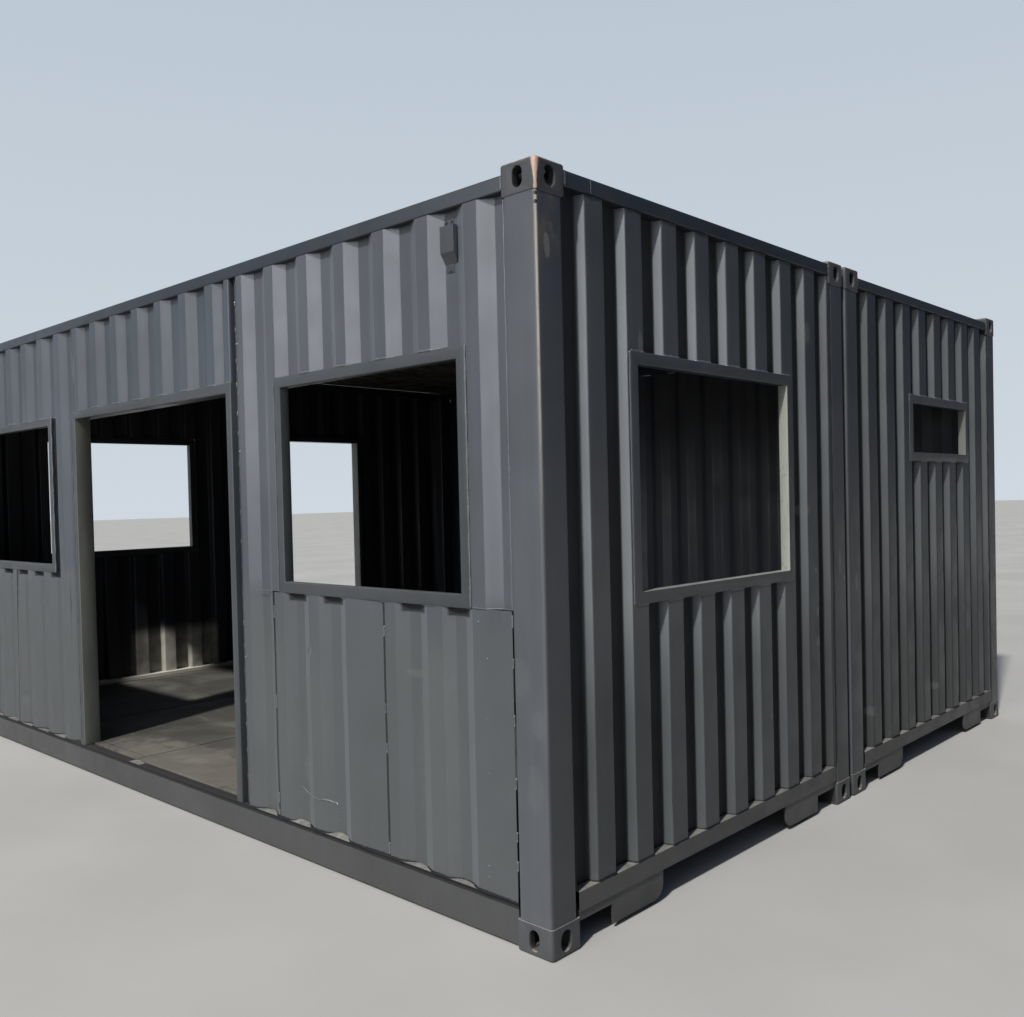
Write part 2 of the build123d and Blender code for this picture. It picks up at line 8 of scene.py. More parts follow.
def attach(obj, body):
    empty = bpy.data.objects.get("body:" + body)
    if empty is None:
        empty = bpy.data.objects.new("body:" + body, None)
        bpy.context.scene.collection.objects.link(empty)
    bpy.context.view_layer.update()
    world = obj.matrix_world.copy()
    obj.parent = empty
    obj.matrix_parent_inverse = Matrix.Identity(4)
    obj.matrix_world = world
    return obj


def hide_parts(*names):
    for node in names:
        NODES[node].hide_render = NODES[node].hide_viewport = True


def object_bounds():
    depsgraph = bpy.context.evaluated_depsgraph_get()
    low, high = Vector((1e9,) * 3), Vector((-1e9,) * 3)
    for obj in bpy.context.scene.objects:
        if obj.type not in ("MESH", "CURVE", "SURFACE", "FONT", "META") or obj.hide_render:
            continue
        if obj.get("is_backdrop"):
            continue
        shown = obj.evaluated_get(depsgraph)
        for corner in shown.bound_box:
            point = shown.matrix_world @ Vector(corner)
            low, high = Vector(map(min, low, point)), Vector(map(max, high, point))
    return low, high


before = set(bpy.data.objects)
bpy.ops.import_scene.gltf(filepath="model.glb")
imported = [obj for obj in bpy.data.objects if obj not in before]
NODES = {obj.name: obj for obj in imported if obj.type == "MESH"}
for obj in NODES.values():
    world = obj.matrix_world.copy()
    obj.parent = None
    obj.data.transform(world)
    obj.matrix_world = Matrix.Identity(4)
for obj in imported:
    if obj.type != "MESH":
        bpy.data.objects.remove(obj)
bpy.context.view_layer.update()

COLLECTION = bpy.context.scene.collection

# ------------------------------------------------------------------ camera
YAW, PITCH, ROLL = (math.radians(a) for a in (131.963, -1.2017, -1.2958))
EYE = Vector((5.3697, -5.0101, 1.6816))
ahead = Vector((math.cos(YAW) * math.cos(PITCH), math.sin(YAW) * math.cos(PITCH), math.sin(PITCH)))
level = Vector((math.sin(YAW), -math.cos(YAW), 0.0))
above = level.cross(ahead)
cam_x = level * math.cos(ROLL) + above * math.sin(ROLL)
cam_y = above * math.cos(ROLL) - level * math.sin(ROLL)
camera_data = bpy.data.cameras.new("camera")
camera_data.sensor_width = 36.0
camera_data.lens = 34.19
camera_data.shift_x = -0.0391
camera_data.shift_y = 0.0085
camera_data.clip_end = 400.0
camera = bpy.data.objects.new("camera", camera_data)
turn = Matrix((cam_x, cam_y, -ahead)).transposed().to_4x4()
camera.matrix_world = Matrix.Translation(EYE) @ turn
COLLECTION.objects.link(camera)
bpy.context.scene.camera = camera

# ------------------------------------------------ dimensions, as in the CAD
HALF_L, HALF_W, UNIT_W, HEIGHT = 3.029, 2.457, 2.438, 2.896
CAST_L, CAST_W, CAST_H = 0.178, 0.162, 0.118
POST_INSET, POST_L, POST_W = 0.003, 0.165, 0.144
WALL_X = HALF_L - POST_INSET - POST_L
CAST_X = HALF_L - CAST_L
CAST_Z = HEIGHT - CAST_H
RAIL_TOP_Z0, RAIL_TOP_Z1 = 2.803, 2.863
END_RAILS = {-1: (2.819, 2.879), 1: (2.804, 2.859)}
BOT_RAIL_Z1 = 0.1745
SILL_Z1 = 0.210
SHEET = 0.002
SIDE = dict(first=2.822, pitch=0.278, inner=0.070, slope=0.068, depth=0.032)
SIDE_IN, END_IN = 0.006, 0.009
FLAT_Y, END_X = -HALF_W + SIDE_IN, HALF_L - END_IN
END_OUT, END_SLOPE, END_DEPTH = 0.110, 0.0175, 0.0456
END_WAVES = {"front_right": (0.248, -0.015), "front_left": (0.250, 0.125),
             "rear_right": (0.250, 0.006), "rear_left": (0.250, 0.125)}
ROOF = dict(first=0.1045, pitch=0.209, inner=0.091, slope=0.0135, depth=0.020)
WIN_Z0, WIN_Z1, DOOR_HEAD, BACK_DOOR_HEAD = 1.257, 2.273, 2.289, 2.336
R_WIN, DOOR, L_WIN = (1.317, 2.638), (-1.000, 0.930), (-2.642, -1.321)
END_WIN, LEFT_WIN, SMALL, BACK_DOOR = (-1.916, -0.595), (-1.8985, -0.5775), (0.890, 1.906), (0.186, 1.249)
END_WIN_Z0, END_WIN_Z1 = 1.240, 2.256
SMALL_Z0, SMALL_Z1 = 1.8545, 2.2605
PATCH_TOP = 1.262
# the patched sheets are shallower: bends (x, depth) from left to right
PATCH_LEFT = [(1.268, 0.0), (1.345, 0.0), (1.424, 0.023), (1.486, 0.023), (1.553, 0.0), (1.629, 0.0),
              (1.698, 0.023), (1.770, 0.023), (1.833, 0.0), (1.930, 0.0), (2.100, 0.0075)]
PATCH_RIGHT = [(2.104, 0.0), (2.176, 0.0), (2.247, 0.023), (2.315, 0.023), (2.379, 0.0), (2.470, 0.0),
               (2.526, 0.023), (2.586, 0.023), (2.645, 0.0), (2.858, 0.0)]
ROOF_X = HALF_L - CAST_L


# ----------------------------------------------------------- profile helpers
def wave(first, pitch, inner, slope, depth, lo, hi):
    """Depth profile between lo and hi, recess middles at first - k * pitch."""
    def value(u):
        off = abs(u - (first - round((first - u) / pitch) * pitch))
        if off <= inner / 2:
            return depth
        if off >= inner / 2 + slope:
            return 0.0
        return depth * (1 - (off - inner / 2) / slope)
    stops = {lo, hi}
    k = math.floor((first - hi) / pitch) - 1
    while first - k * pitch > lo - pitch:
        c = first - k * pitch
        for d in (-inner / 2 - slope, -inner / 2, inner / 2, inner / 2 + slope):
            if lo < c + d < hi:
                stops.add(c + d)
        k += 1
    return [(u, value(u)) for u in sorted(stops)]


def side_line(lo, hi):
    return wave(lo=lo, hi=hi, **SIDE)


def end_line(label, middle, lo, hi):
    pitch, shift = END_WAVES[label]
    return wave(middle + shift, pitch, pitch - END_OUT - 2 * END_SLOPE, END_SLOPE, END_DEPTH, lo, hi)


def rounded(line, radius, steps, spacing):
    """The line with its bends turned into arcs and its straights divided."""
    pts = [np.array(p, float) for p in line]
    out = [pts[0]]
    for a, b, c in zip(pts[:-2], pts[1:-1], pts[2:]):
        d1, d2 = b - a, c - b
        l1, l2 = np.linalg.norm(d1), np.linalg.norm(d2)
        d1, d2 = d1 / l1, d2 / l2
        cross = d1[0] * d2[1] - d1[1] * d2[0]
        bend = math.atan2(cross, float(d1 @ d2))
        if abs(bend) < 0.03:
            out.append(b)
            continue
        t = min(radius * math.tan(abs(bend) / 2), 0.45 * l1, 0.45 * l2)
        p, q = b - d1 * t, b + d2 * t
        for i in range(steps + 1):
            s = i / steps
            # quadratic arc through the bend's tangent points
            out.append((1 - s) ** 2 * p + 2 * s * (1 - s) * b + s * s * q)
    out.append(pts[-1])
    fine = [out[0]]
    for a, b in zip(out[:-1], out[1:]):
        n = max(1, math.ceil(np.linalg.norm(b - a) / spacing))
        for i in range(1, n + 1):
            fine.append(a + (b - a) * i / n)
    return np.array(fine)


def sheet_normals(line):
    d = np.diff(line, axis=0)
    n = np.stack([-d[:, 1], d[:, 0]], 1)
    n /= np.linalg.norm(n, axis=1)[:, None]
    at = np.vstack([n[:1], (n[:-1] + n[1:]), n[-1:]])
    at[1:-1] /= (np.sum(at[1:-1] ** 2, axis=1) / 2)[:, None]
    return at


RNG = np.random.default_rng(417)


def soft_noise(seed, scale, count=14):
    """A smooth field over (u, z) made of a few sine waves, about -1 to 1."""
    rng = np.random.default_rng(seed)
    waves = []
    for _ in range(count):
        angle, size = rng.uniform(0, math.pi), scale * rng.uniform(0.6, 1.9)
        waves.append((math.cos(angle) / size, math.sin(angle) / size, rng.uniform(0, 2 * math.pi)))
    def field(u, z):
        total = 0.0
        for a, b, c in waves:
            total = total + np.sin(2 * math.pi * (a * u + b * z) + c)
        return total / math.sqrt(count)
    return field


def hollow(u, z, cu, cz, ru, rz, deep, tilt=0.0):
    c, s = math.cos(tilt), math.sin(tilt)
    du, dz = u - cu, z - cz
    a, b = (du * c + dz * s) / ru, (-du * s + dz * c) / rz
    return deep * np.exp(-(a * a + b * b))


big_front, small_front = soft_noise(3, 1.1), soft_noise(4, 0.30)
big_end, small_end = soft_noise(5, 0.9), soft_noise(6, 0.26)
big_back, small_back = soft_noise(7, 1.2), soft_noise(8, 0.32)

FRONT_HOLLOWS = [
    # middle x, middle z, half width, half height, depth, tilt
    (1.545, 0.992, 0.024, 0.013, 0.0060, 0.9), (1.566, 1.004, 0.012, 0.008, -0.0025, 0.5),
    (1.610, 1.110, 0.014, 0.060, 0.0022, 0.15), (1.470, 0.60, 0.030, 0.05, 0.0015, 0.0),
    (-1.62, 0.885, 0.030, 0.022, 0.0045, 0.4), (-1.84, 0.765, 0.034, 0.030, 0.0050, -0.3),
    (-2.04, 0.610, 0.040, 0.026, 0.0050, 0.5), (-2.28, 0.440, 0.036, 0.036, 0.0045, 0.0),
    (-1.52, 0.52, 0.045, 0.030, 0.0040, 0.2), (-1.95, 0.36, 0.050, 0.028, 0.0040, -0.2),
    (2.32, 0.95, 0.040, 0.020, 0.0018, 0.0), (2.78, 0.52, 0.020, 0.05, 0.0016, 0.1),
    (-1.14, 1.05, 0.030, 0.06, 0.0030, 0.1), (-1.16, 0.62, 0.040, 0.03, 0.0035, 0.3),
    (1.12, 2.05, 0.030, 0.05, 0.0012, 0.0), (-0.2, 2.62, 0.06, 0.04, 0.0018, 0.2),
    # creases beside the door, one below the other
    (-1.835, 0.977, 0.022, 0.013, 0.0045, 0.3), (-1.845, 0.880, 0.024, 0.013, 0.0050, 0.2),
    (-1.852, 0.788, 0.024, 0.012, 0.0045, 0.4), (-1.862, 0.662, 0.026, 0.014, 0.0050, 0.1),
    (-1.870, 0.560, 0.024, 0.013, 0.0045, 0.3), (-1.575, 0.900, 0.022, 0.014, 0.0045, -0.2),
    (-1.585, 0.768, 0.022, 0.013, 0.0045, 0.2), (-1.548, 0.622, 0.024, 0.014, 0.0045, 0.3),
    (-1.280, 1.050, 0.018, 0.011, 0.0035, 0.2), (-1.275, 0.965, 0.018, 0.011, 0.0035, 0.1),
    (-1.285, 0.808, 0.020, 0.012, 0.0040, 0.3), (-1.310, 0.694, 0.020, 0.012, 0.0035, 0.0),
]
END_HOLLOWS = [
    (-1.655, 0.405, 0.020, 0.032, 0.0130, 0.2), (-0.80, 0.600, 0.030, 0.022, 0.0020, 0.0),
    (0.35, 0.410, 0.026, 0.030, 0.0028, 0.3), (1.02, 0.625, 0.024, 0.020, 0.0026, -0.2),
    (1.33, 0.400, 0.022, 0.028, 0.0026, 0.0), (0.80, 0.990, 0.020, 0.016, 0.0022, 0.0),
    (-0.35, 1.05, 0.020, 0.05, 0.0020, 0.0), (-1.98, 1.75, 0.018, 0.10, 0.0015, 0.0),
    (-1.22, 1.02, 0.030, 0.05, 0.0018, 0.1),
]


def front_waviness(u, z):
    d = 0.0009 * big_front(u, z) + 0.00045 * small_front(u, z)
    for h in FRONT_HOLLOWS:
        d = d + hollow(u, z, *h)
    return d


def end_waviness(u, z):
    d = 0.0007 * big_end(u, z) + 0.00035 * small_end(u, z)
    for h in END_HOLLOWS:
        d = d + hollow(u, z, *h)
    return d


def back_waviness(u, z):
    return 0.0010 * big_back(u, z) + 0.0006 * small_back(u, z)


def new_mesh(name, verts, faces, smooth_angle=35.0):
    mesh = bpy.data.meshes.new(name)
    mesh.from_pydata(verts, [], faces)
    mesh.update()
    for p in mesh.polygons:
        p.use_smooth = True
    mesh.set_sharp_from_angle(angle=math.radians(smooth_angle))
    obj = bpy.data.objects.new(name, mesh)
    COLLECTION.objects.link(obj)
    return obj


def sheet_mesh(name, panels, mapper, waviness, radius, steps, spacing=0.040, row=0.045, rows=None, drop=False):
    """Corrugated sheet as one closed mesh a panel. panels: (line, z0, z1).

    rows gives the stations along the corrugations, and drop sets the second
    face straight below the first.
    """
    verts, faces, base = [], [], 0
    for line, z0, z1 in panels:
        line = rounded(line, radius, steps, spacing)
        inner = line + sheet_normals(line) * SHEET
        nu, nz = len(line), max(2, math.ceil((z1 - z0) / row) + 1)
        zs = np.linspace(z0, z1, nz)
        if rows is not None:
            zs = np.array(rows)
            nz = len(zs)
        for pts in (line, line if drop else inner):
            u = np.repeat(pts[:, 0], nz)
            v = np.repeat(pts[:, 1], nz)
            z = np.tile(zs, nu)
            if waviness is not None:
                v = v + waviness(np.repeat(line[:, 0], nz), z)
            verts.append(np.stack(mapper(u, v, z), 1))
        if drop:
            verts[-1][:, 2] -= SHEET
        n = nu * nz
        i, j = np.meshgrid(np.arange(nu - 1), np.arange(nz - 1), indexing="ij")
        a = (base + i * nz + j).ravel()
        quads = np.stack([a, a + nz, a + nz + 1, a + 1], 1)
        back = quads[:, ::-1] + n
        k = np.arange(nu - 1)
        low = base + k * nz
        top = base + k * nz + nz - 1
        low_cap = np.stack([low, low + n, low + n + nz, low + nz], 1)
        top_cap = np.stack([top, top + nz, top + n + nz, top + n], 1)
        m = np.arange(nz - 1)
        left = base + m
        right = base + (nu - 1) * nz + m
        left_cap = np.stack([left, left + 1, left + n + 1, left + n], 1)
        right_cap = np.stack([right, right + n, right + n + 1, right + 1], 1)
        for part in (quads, back, low_cap, top_cap, left_cap, right_cap):
            faces.extend(part.tolist())
        base += 2 * n
    obj = new_mesh(name, np.vstack(verts).tolist(), faces, 40.0)
    return obj


def facing_out(obj):
    """Turns the faces outwards on a closed mesh."""
    import bmesh
    bm = bmesh.new()
    bm.from_mesh(obj.data)
    bmesh.ops.recalc_face_normals(bm, faces=bm.faces)
    bm.to_mesh(obj.data)
    bm.free()
    obj.data.set_sharp_from_angle(angle=math.radians(40))


def on_front(u, v, z):
    return u, -HALF_W + SIDE_IN + v, z


def on_back(u, v, z):
    return u, HALF_W - SIDE_IN - v, z


def on_end(sign):
    return lambda u, v, z: (sign * (HALF_L - END_IN - v), u, z)


# ------------------------------------------------------------ detailed sheets
SHEETS = []


def detailed(name, node, panels, mapper, waviness, radius, steps, **more):
    obj = sheet_mesh(name, panels, mapper, waviness, radius, steps, **more)
    facing_out(obj)
    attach(obj, "root")
    if node is not None:
        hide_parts(node)
    SHEETS.append(obj)
    return obj


door_line = side_line(-0.951, 0.827) + [(0.876, 0.032), (0.878, 0.0), (0.929, 0.0), (0.929, 0.032)]
detailed("wall_sheets_over_openings", "front_wall_over_openings", [
    (side_line(*R_WIN), WIN_Z1, RAIL_TOP_Z0),
    (side_line(*L_WIN), WIN_Z1, RAIL_TOP_Z0),
    (door_line, DOOR_HEAD, RAIL_TOP_Z0),
], on_front, front_waviness, 0.014, 4)

closing = [(0.9305, 0.032), (0.996, 0.032), (0.999, 0.0)]
detailed("wall_sheet_piers", "front_wall_piers", [
    (side_line(R_WIN[1], WALL_X), PATCH_TOP, CAST_Z),
    (side_line(R_WIN[1], CAST_X), CAST_Z, RAIL_TOP_Z0),
    (closing + side_line(1.001, 1.264), BOT_RAIL_Z1, PATCH_TOP),
    (closing + side_line(1.001, R_WIN[0]), PATCH_TOP, RAIL_TOP_Z0),
    (side_line(L_WIN[1], DOOR[0]), BOT_RAIL_Z1, DOOR_HEAD),
    (side_line(L_WIN[1], -0.955), DOOR_HEAD, RAIL_TOP_Z0),
    (side_line(-WALL_X, L_WIN[0]), BOT_RAIL_Z1, CAST_Z),
    (side_line(-CAST_X, L_WIN[0]), CAST_Z, RAIL_TOP_Z0),
], on_front, front_waviness, 0.014, 4)

detailed("wall_sheets_under_windows", "front_wall_under_windows", [
    (PATCH_RIGHT, BOT_RAIL_Z1, WIN_Z0),
    (PATCH_LEFT, BOT_RAIL_Z1, WIN_Z0),
    (side_line(*L_WIN), BOT_RAIL_Z1, WIN_Z0),
], on_front, front_waviness, 0.012, 4, spacing=0.017, row=0.018)

# a flat strip laid over the end of the right patch
detailed("closing_strip_right", None, [([(2.727, -0.0014), (2.8597, -0.0014)], 0.186, 1.2615)],
         on_front, front_waviness, 0.012, 4, spacing=0.017, row=0.018)

detailed("wall_sheet_back", "back_wall", [
    (side_line(-WALL_X, WALL_X), BOT_RAIL_Z1, CAST_Z),
    (side_line(-CAST_X, CAST_X), CAST_Z, RAIL_TOP_Z0),
], on_back, back_waviness, 0.014, 3, row=0.075)

ENDS = {
    "front_right": (-1, 1, *END_WIN, END_WIN_Z0, END_WIN_Z1),
    "front_left": (-1, -1, *LEFT_WIN, WIN_Z0, WIN_Z1),
    "rear_right": (1, 1, *SMALL, SMALL_Z0, SMALL_Z1),
    "rear_left": (1, -1, *BACK_DOOR, SILL_Z1, BACK_DOOR_HEAD),
}
for label, (unit, sign, y0, y1, z0, z1) in ENDS.items():
    mid = unit * (HALF_W - UNIT_W / 2)
    half = UNIT_W / 2 - POST_INSET - POST_W
    step = CAST_W - POST_INSET - POST_W
    top = END_RAILS[unit][0]
    panels = []
    for a, b in ((mid - half, y0), (y1, mid + half)):
        ca, cb = (step if a < y0 - 1e-6 and a == mid - half else 0.0), (step if b == mid + half else 0.0)
        panels.append((end_line(label, mid, a, b), SILL_Z1, CAST_Z))
        panels.append((end_line(label, mid, a + ca, b - cb), CAST_Z, top))
    rows = 0.045 if sign == 1 else 0.070
    detailed(f"end_sheet_sides_{label}", f"{label}_end_wall_sides", panels, on_end(sign),
             end_waviness, 0.011, 5, row=rows)
    panels = [(end_line(label, mid, y0, y1), a, b) for a, b in ((SILL_Z1, z0), (z1, top)) if b - a > 0.001]
    detailed(f"end_sheet_middle_{label}", f"{label}_end_wall_middle", panels, on_end(sign),
             end_waviness, 0.011, 5, row=rows)

# roof sheets with round bends
for unit, label in ((-1, "front"), (1, "rear")):
    mid = unit * (HALF_W - UNIT_W / 2)
    line = wave(lo=-ROOF_X, hi=ROOF_X, **ROOF)
    top = RAIL_TOP_Z1 + SHEET + ROOF["depth"]
    dip = soft_noise(11 + unit, 0.7)

    def on_roof(u, v, y, mid=mid, top=top, dip=dip):
        # the crests run out into flat margins along the rails
        out = np.clip((1.114 - np.abs(y - mid)) / 0.020, 0, 1)
        out = out * out * (3 - 2 * out)
        edge = np.clip((1.094 - np.abs(y - mid)) / 0.25, 0, 1) * np.clip((2.851 - np.abs(u)) / 0.25, 0, 1)
        lift = (ROOF["depth"] - v) * out
        return u, y, top - ROOF["depth"] + lift - edge * (0.003 + 0.0016 * dip(u, y))
    run = np.concatenate([[-1.199, -1.156, -1.114, -1.109, -1.104, -1.099], np.linspace(-1.094, 1.094, 23),
                          [1.099, 1.104, 1.109, 1.114, 1.156, 1.199]])
    obj = sheet_mesh(f"roof_sheet_{label}", [(line, mid - 1.199, mid + 1.199)], on_roof, None,
                     0.006, 3, spacing=0.05, rows=mid + run, drop=True)
    facing_out(obj)
    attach(obj, "root")
    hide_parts(f"{label}_roof")
    SHEETS.append(obj)


# -------------------------------------------------------------- weld beads
class Beads:
    """Collects weld beads as one mesh."""

    def __init__(self, name, seed):
        self.name, self.verts, self.faces = name, [], []
        self.rng = np.random.default_rng(seed)

    def run(self, points, normal, width=0.008, height=0.0035, step=0.006, ripple=0.007, rough=0.25):
        pts = [Vector(p) for p in points]
        lengths = [(b - a).length for a, b in zip(pts[:-1], pts[1:])]
        total = sum(lengths)
        if total < 1e-4:
            return
        count = max(3, int(total / step))
        normal = Vector(normal).normalized()
        rows, seg, done = [], 0, 0.0
        phase = self.rng.uniform(0, 6.28)
        wander = self.rng.uniform(0, 6.28)
        for i in range(count + 1):
            s = total * i / count
            while seg < len(lengths) - 1 and s > done + lengths[seg]:
                done += lengths[seg]
                seg += 1
            t = (pts[seg + 1] - pts[seg]).normalized()
            p = pts[seg] + t * (s - done)
            side = t.cross(normal)
            if side.length < 1e-6:
                continue
            side.normalize()
            up = side.cross(t).normalized()
            end = min(1.0, 0.25 + min(s, total - s) / (width * 1.2))
            lump = 0.80 + 0.20 * math.sin(2 * math.pi * s / ripple + phase) + self.rng.normal(0, rough * 0.35)
            w = width * 0.5 * end * (1 + self.rng.normal(0, rough * 0.22)) * (1 + 0.18 * math.sin(s * 37 + wander))
            h = height * end * max(0.35, lump)
            p = p + side * (0.0006 * math.sin(s * 61 + phase) + self.rng.normal(0, 0.0002))
            base = len(self.verts)
            for k in range(5):
                a = math.pi * k / 4
                q = p + side * (w * math.cos(a)) + up * (h * math.sin(a) - 0.0006)
                self.verts.append(tuple(q))
            rows.append(base)
        for a, b in zip(rows[:-1], rows[1:]):
            for k in range(4):
                self.faces.append((a + k, a + k + 1, b + k + 1, b + k))
            self.faces.append((a + 4, a, b, b + 4))
        if rows:
            self.faces.append(tuple(rows[0] + k for k in (4, 3, 2, 1, 0)))
            self.faces.append(tuple(rows[-1] + k for k in range(5)))

    def blob(self, centre, normal, size, height, rings=4, sides=9):
        """A lump of weld metal or spatter."""
        c, n = Vector(centre), Vector(normal).normalized()
        a = n.orthogonal().normalized()
        b = n.cross(a)
        base = len(self.verts)
        stretch = self.rng.uniform(0.8, 1.25)
        for r in range(rings):
            f = (r + 1) / rings
            for k in range(sides):
                ang = 2 * math.pi * k / sides
                rad = size * f * (1 + self.rng.normal(0, 0.10))
                h = height * math.cos(f * math.pi / 2) ** 0.7 - (0.0008 if r == rings - 1 else 0)
                q = c + a * (rad * math.cos(ang) * stretch) + b * (rad * math.sin(ang)) + n * h
                self.verts.append(tuple(q))
        top = len(self.verts)
        self.verts.append(tuple(c + n * height))
        for k in range(sides):
            k2 = (k + 1) % sides
            self.faces.append((top, base + k, base + k2))
            for r in range(rings - 1):
                lo = base + r * sides
                self.faces.append((lo + k, lo + sides + k, lo + sides + k2, lo + k2))
        low = base + (rings - 1) * sides
        self.faces.append(tuple(low + k for k in range(sides - 1, -1, -1)))

    def make(self, material):
        most_x, most_y = HALF_L - 0.0002, HALF_W - 0.0002
        self.verts = [(min(max(x, -most_x), most_x), min(max(y, -most_y), most_y), z) for x, y, z in self.verts]
        obj = new_mesh(self.name, self.verts, self.faces, 70.0)
        facing_out(obj)
        obj.data.set_sharp_from_angle(angle=math.radians(75))
        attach(obj, "root")
        obj.data.materials.append(material)
        return obj


# ------------------------------------------------------------ node materials
class Finish:
    """Small helper to write a procedural material in the object's own space."""

    def __init__(self, name):
        self.fields = {}
        self.mat = bpy.data.materials.new(name)
        self.mat.use_nodes = True
        self.tree = self.mat.node_tree
        self.tree.nodes.clear()
        self.out = self.add("ShaderNodeOutputMaterial")
        self.bsdf = self.add("ShaderNodeBsdfPrincipled")
        self.join(self.bsdf.outputs[0], self.out.inputs[0])
        self.co = self.add("ShaderNodeTexCoord").outputs["Object"]
        split = self.add("ShaderNodeSeparateXYZ")
        self.join(self.co, split.inputs[0])
        self.x, self.y, self.z = split.outputs
        geo = self.add("ShaderNodeNewGeometry")
        nsplit = self.add("ShaderNodeSeparateXYZ")
        self.join(geo.outputs["True Normal"], nsplit.inputs[0])
        self.nx, self.ny, self.nz = nsplit.outputs

    def add(self, kind):
        return self.tree.nodes.new(kind)

    def join(self, a, b):
        self.tree.links.new(a, b)

    def put(self, value, socket):
        if isinstance(value, (int, float)):
            single = isinstance(socket.default_value, (int, float))
            socket.default_value = value if single else (value, value, value, 1.0)
        elif isinstance(value, (tuple, list)):
            socket.default_value = (*value, 1.0) if len(value) == 3 and len(socket.default_value) == 4 else value
        else:
            self.join(value, socket)

    def math(self, op, a, b=None, c=None, clamp=False):
        n = self.add("ShaderNodeMath")
        n.operation = op
        n.use_clamp = clamp
        for v, s in zip((a, b, c), n.inputs):
            if v is not None:
                self.put(v, s)
        return n.outputs[0]

    def span(self, value, lo, hi, a=0.0, b=1.0, kind="SMOOTHSTEP"):
        n = self.add("ShaderNodeMapRange")
        n.interpolation_type = kind
        n.clamp = True
        for v, s in ((value, "Value"), (lo, "From Min"), (hi, "From Max"), (a, "To Min"), (b, "To Max")):
            self.put(v, n.inputs[s])
        return n.outputs[0]

    def noise(self, scale, detail=3.0, rough=0.5, stretch=None, shift=(0, 0, 0), distort=0.0, turn=(0, 0, 0)):
        m = self.add("ShaderNodeMapping")
        self.join(self.co, m.inputs["Vector"])
        m.inputs["Location"].default_value = shift
        m.inputs["Rotation"].default_value = turn
        m.inputs["Scale"].default_value = stretch or (1, 1, 1)
        n = self.add("ShaderNodeTexNoise")
        self.join(m.outputs[0], n.inputs["Vector"])
        n.inputs["Scale"].default_value = scale
        n.inputs["Detail"].default_value = detail
        n.inputs["Roughness"].default_value = rough
        n.inputs["Distortion"].default_value = distort
        return n.outputs["Fac"]

    def cells(self, scale, stretch=None, shift=(0, 0, 0), feature="F1", output="Distance", randomness=1.0):
        m = self.add("ShaderNodeMapping")
        self.join(self.co, m.inputs["Vector"])
        m.inputs["Location"].default_value = shift
        m.inputs["Scale"].default_value = stretch or (1, 1, 1)
        n = self.add("ShaderNodeTexVoronoi")
        n.feature = feature
        self.join(m.outputs[0], n.inputs["Vector"])
        n.inputs["Scale"].default_value = scale
        n.inputs["Randomness"].default_value = randomness
        return n.outputs[output]

    def mix(self, fac, a, b, blend="MIX"):
        n = self.add("ShaderNodeMix")
        n.data_type = "RGBA"
        n.blend_type = blend
        self.put(fac, n.inputs[0])
        self.put(a, n.inputs[6])
        self.put(b, n.inputs[7])
        return n.outputs[2]

    def bump(self, height, strength, distance, normal=None):
        n = self.add("ShaderNodeBump")
        n.inputs["Strength"].default_value = strength
        n.inputs["Distance"].default_value = distance
        self.put(height, n.inputs["Height"])
        if normal is not None:
            self.join(normal, n.inputs["Normal"])
        return n.outputs[0]

    def scaled(self, mask, col, factor):
        """The colour multiplied by a factor (number or three numbers) where the mask is 1."""
        if isinstance(factor, (int, float)):
            factor = (factor, factor, factor)
        return self.mix(mask, col, self.mix(1.0, col, factor, "MULTIPLY"))

    def near_line(self, x, y, lo, hi):
        """1 on the upright line through (x, y), fading out from lo to hi metres away."""
        dx = self.math("SUBTRACT", self.x, x)
        dy = self.math("SUBTRACT", self.y, y)
        d = self.math("SQRT", self.math("ADD", self.math("MULTIPLY", dx, dx), self.math("MULTIPLY", dy, dy)))
        return self.span(d, lo, hi, 1.0, 0.0)

    def spot(self, centre, size, ragged=0.35, scale=40.0):
        """A ragged blot round a point. size: half extents along x, y, z."""
        total = None
        for c, s, v in zip(centre, size, (self.x, self.y, self.z)):
            q = self.math("DIVIDE", self.math("SUBTRACT", v, c), s)
            q = self.math("MULTIPLY", q, q)
            total = q if total is None else self.math("ADD", total, q)
        key = 20.0 * round(scale / 20.0)
        if key not in self.fields:
            self.fields[key] = self.math("SUBTRACT", self.noise(max(key, 9.0), 3.0, 0.6), 0.5)
        total = self.math("ADD", total, self.math("MULTIPLY", self.fields[key], ragged * 6))
        return self.span(total, 0.55, 1.15, 1.0, 0.0)

    def done(self, colour, rough, normal=None, metallic=0.0, specular=None, ior=None):
        self.put(colour, self.bsdf.inputs["Base Color"])
        self.put(rough, self.bsdf.inputs["Roughness"])
        self.put(metallic, self.bsdf.inputs["Metallic"])
        if specular is not None:
            self.bsdf.inputs["Specular IOR Level"].default_value = specular
        if ior is not None:
            self.bsdf.inputs["IOR"].default_value = ior
        if normal is not None:
            self.join(normal, self.bsdf.inputs["Normal"])
        return self.mat


DUST = (0.30, 0.285, 0.250)
RUST = (0.16, 0.070, 0.032)


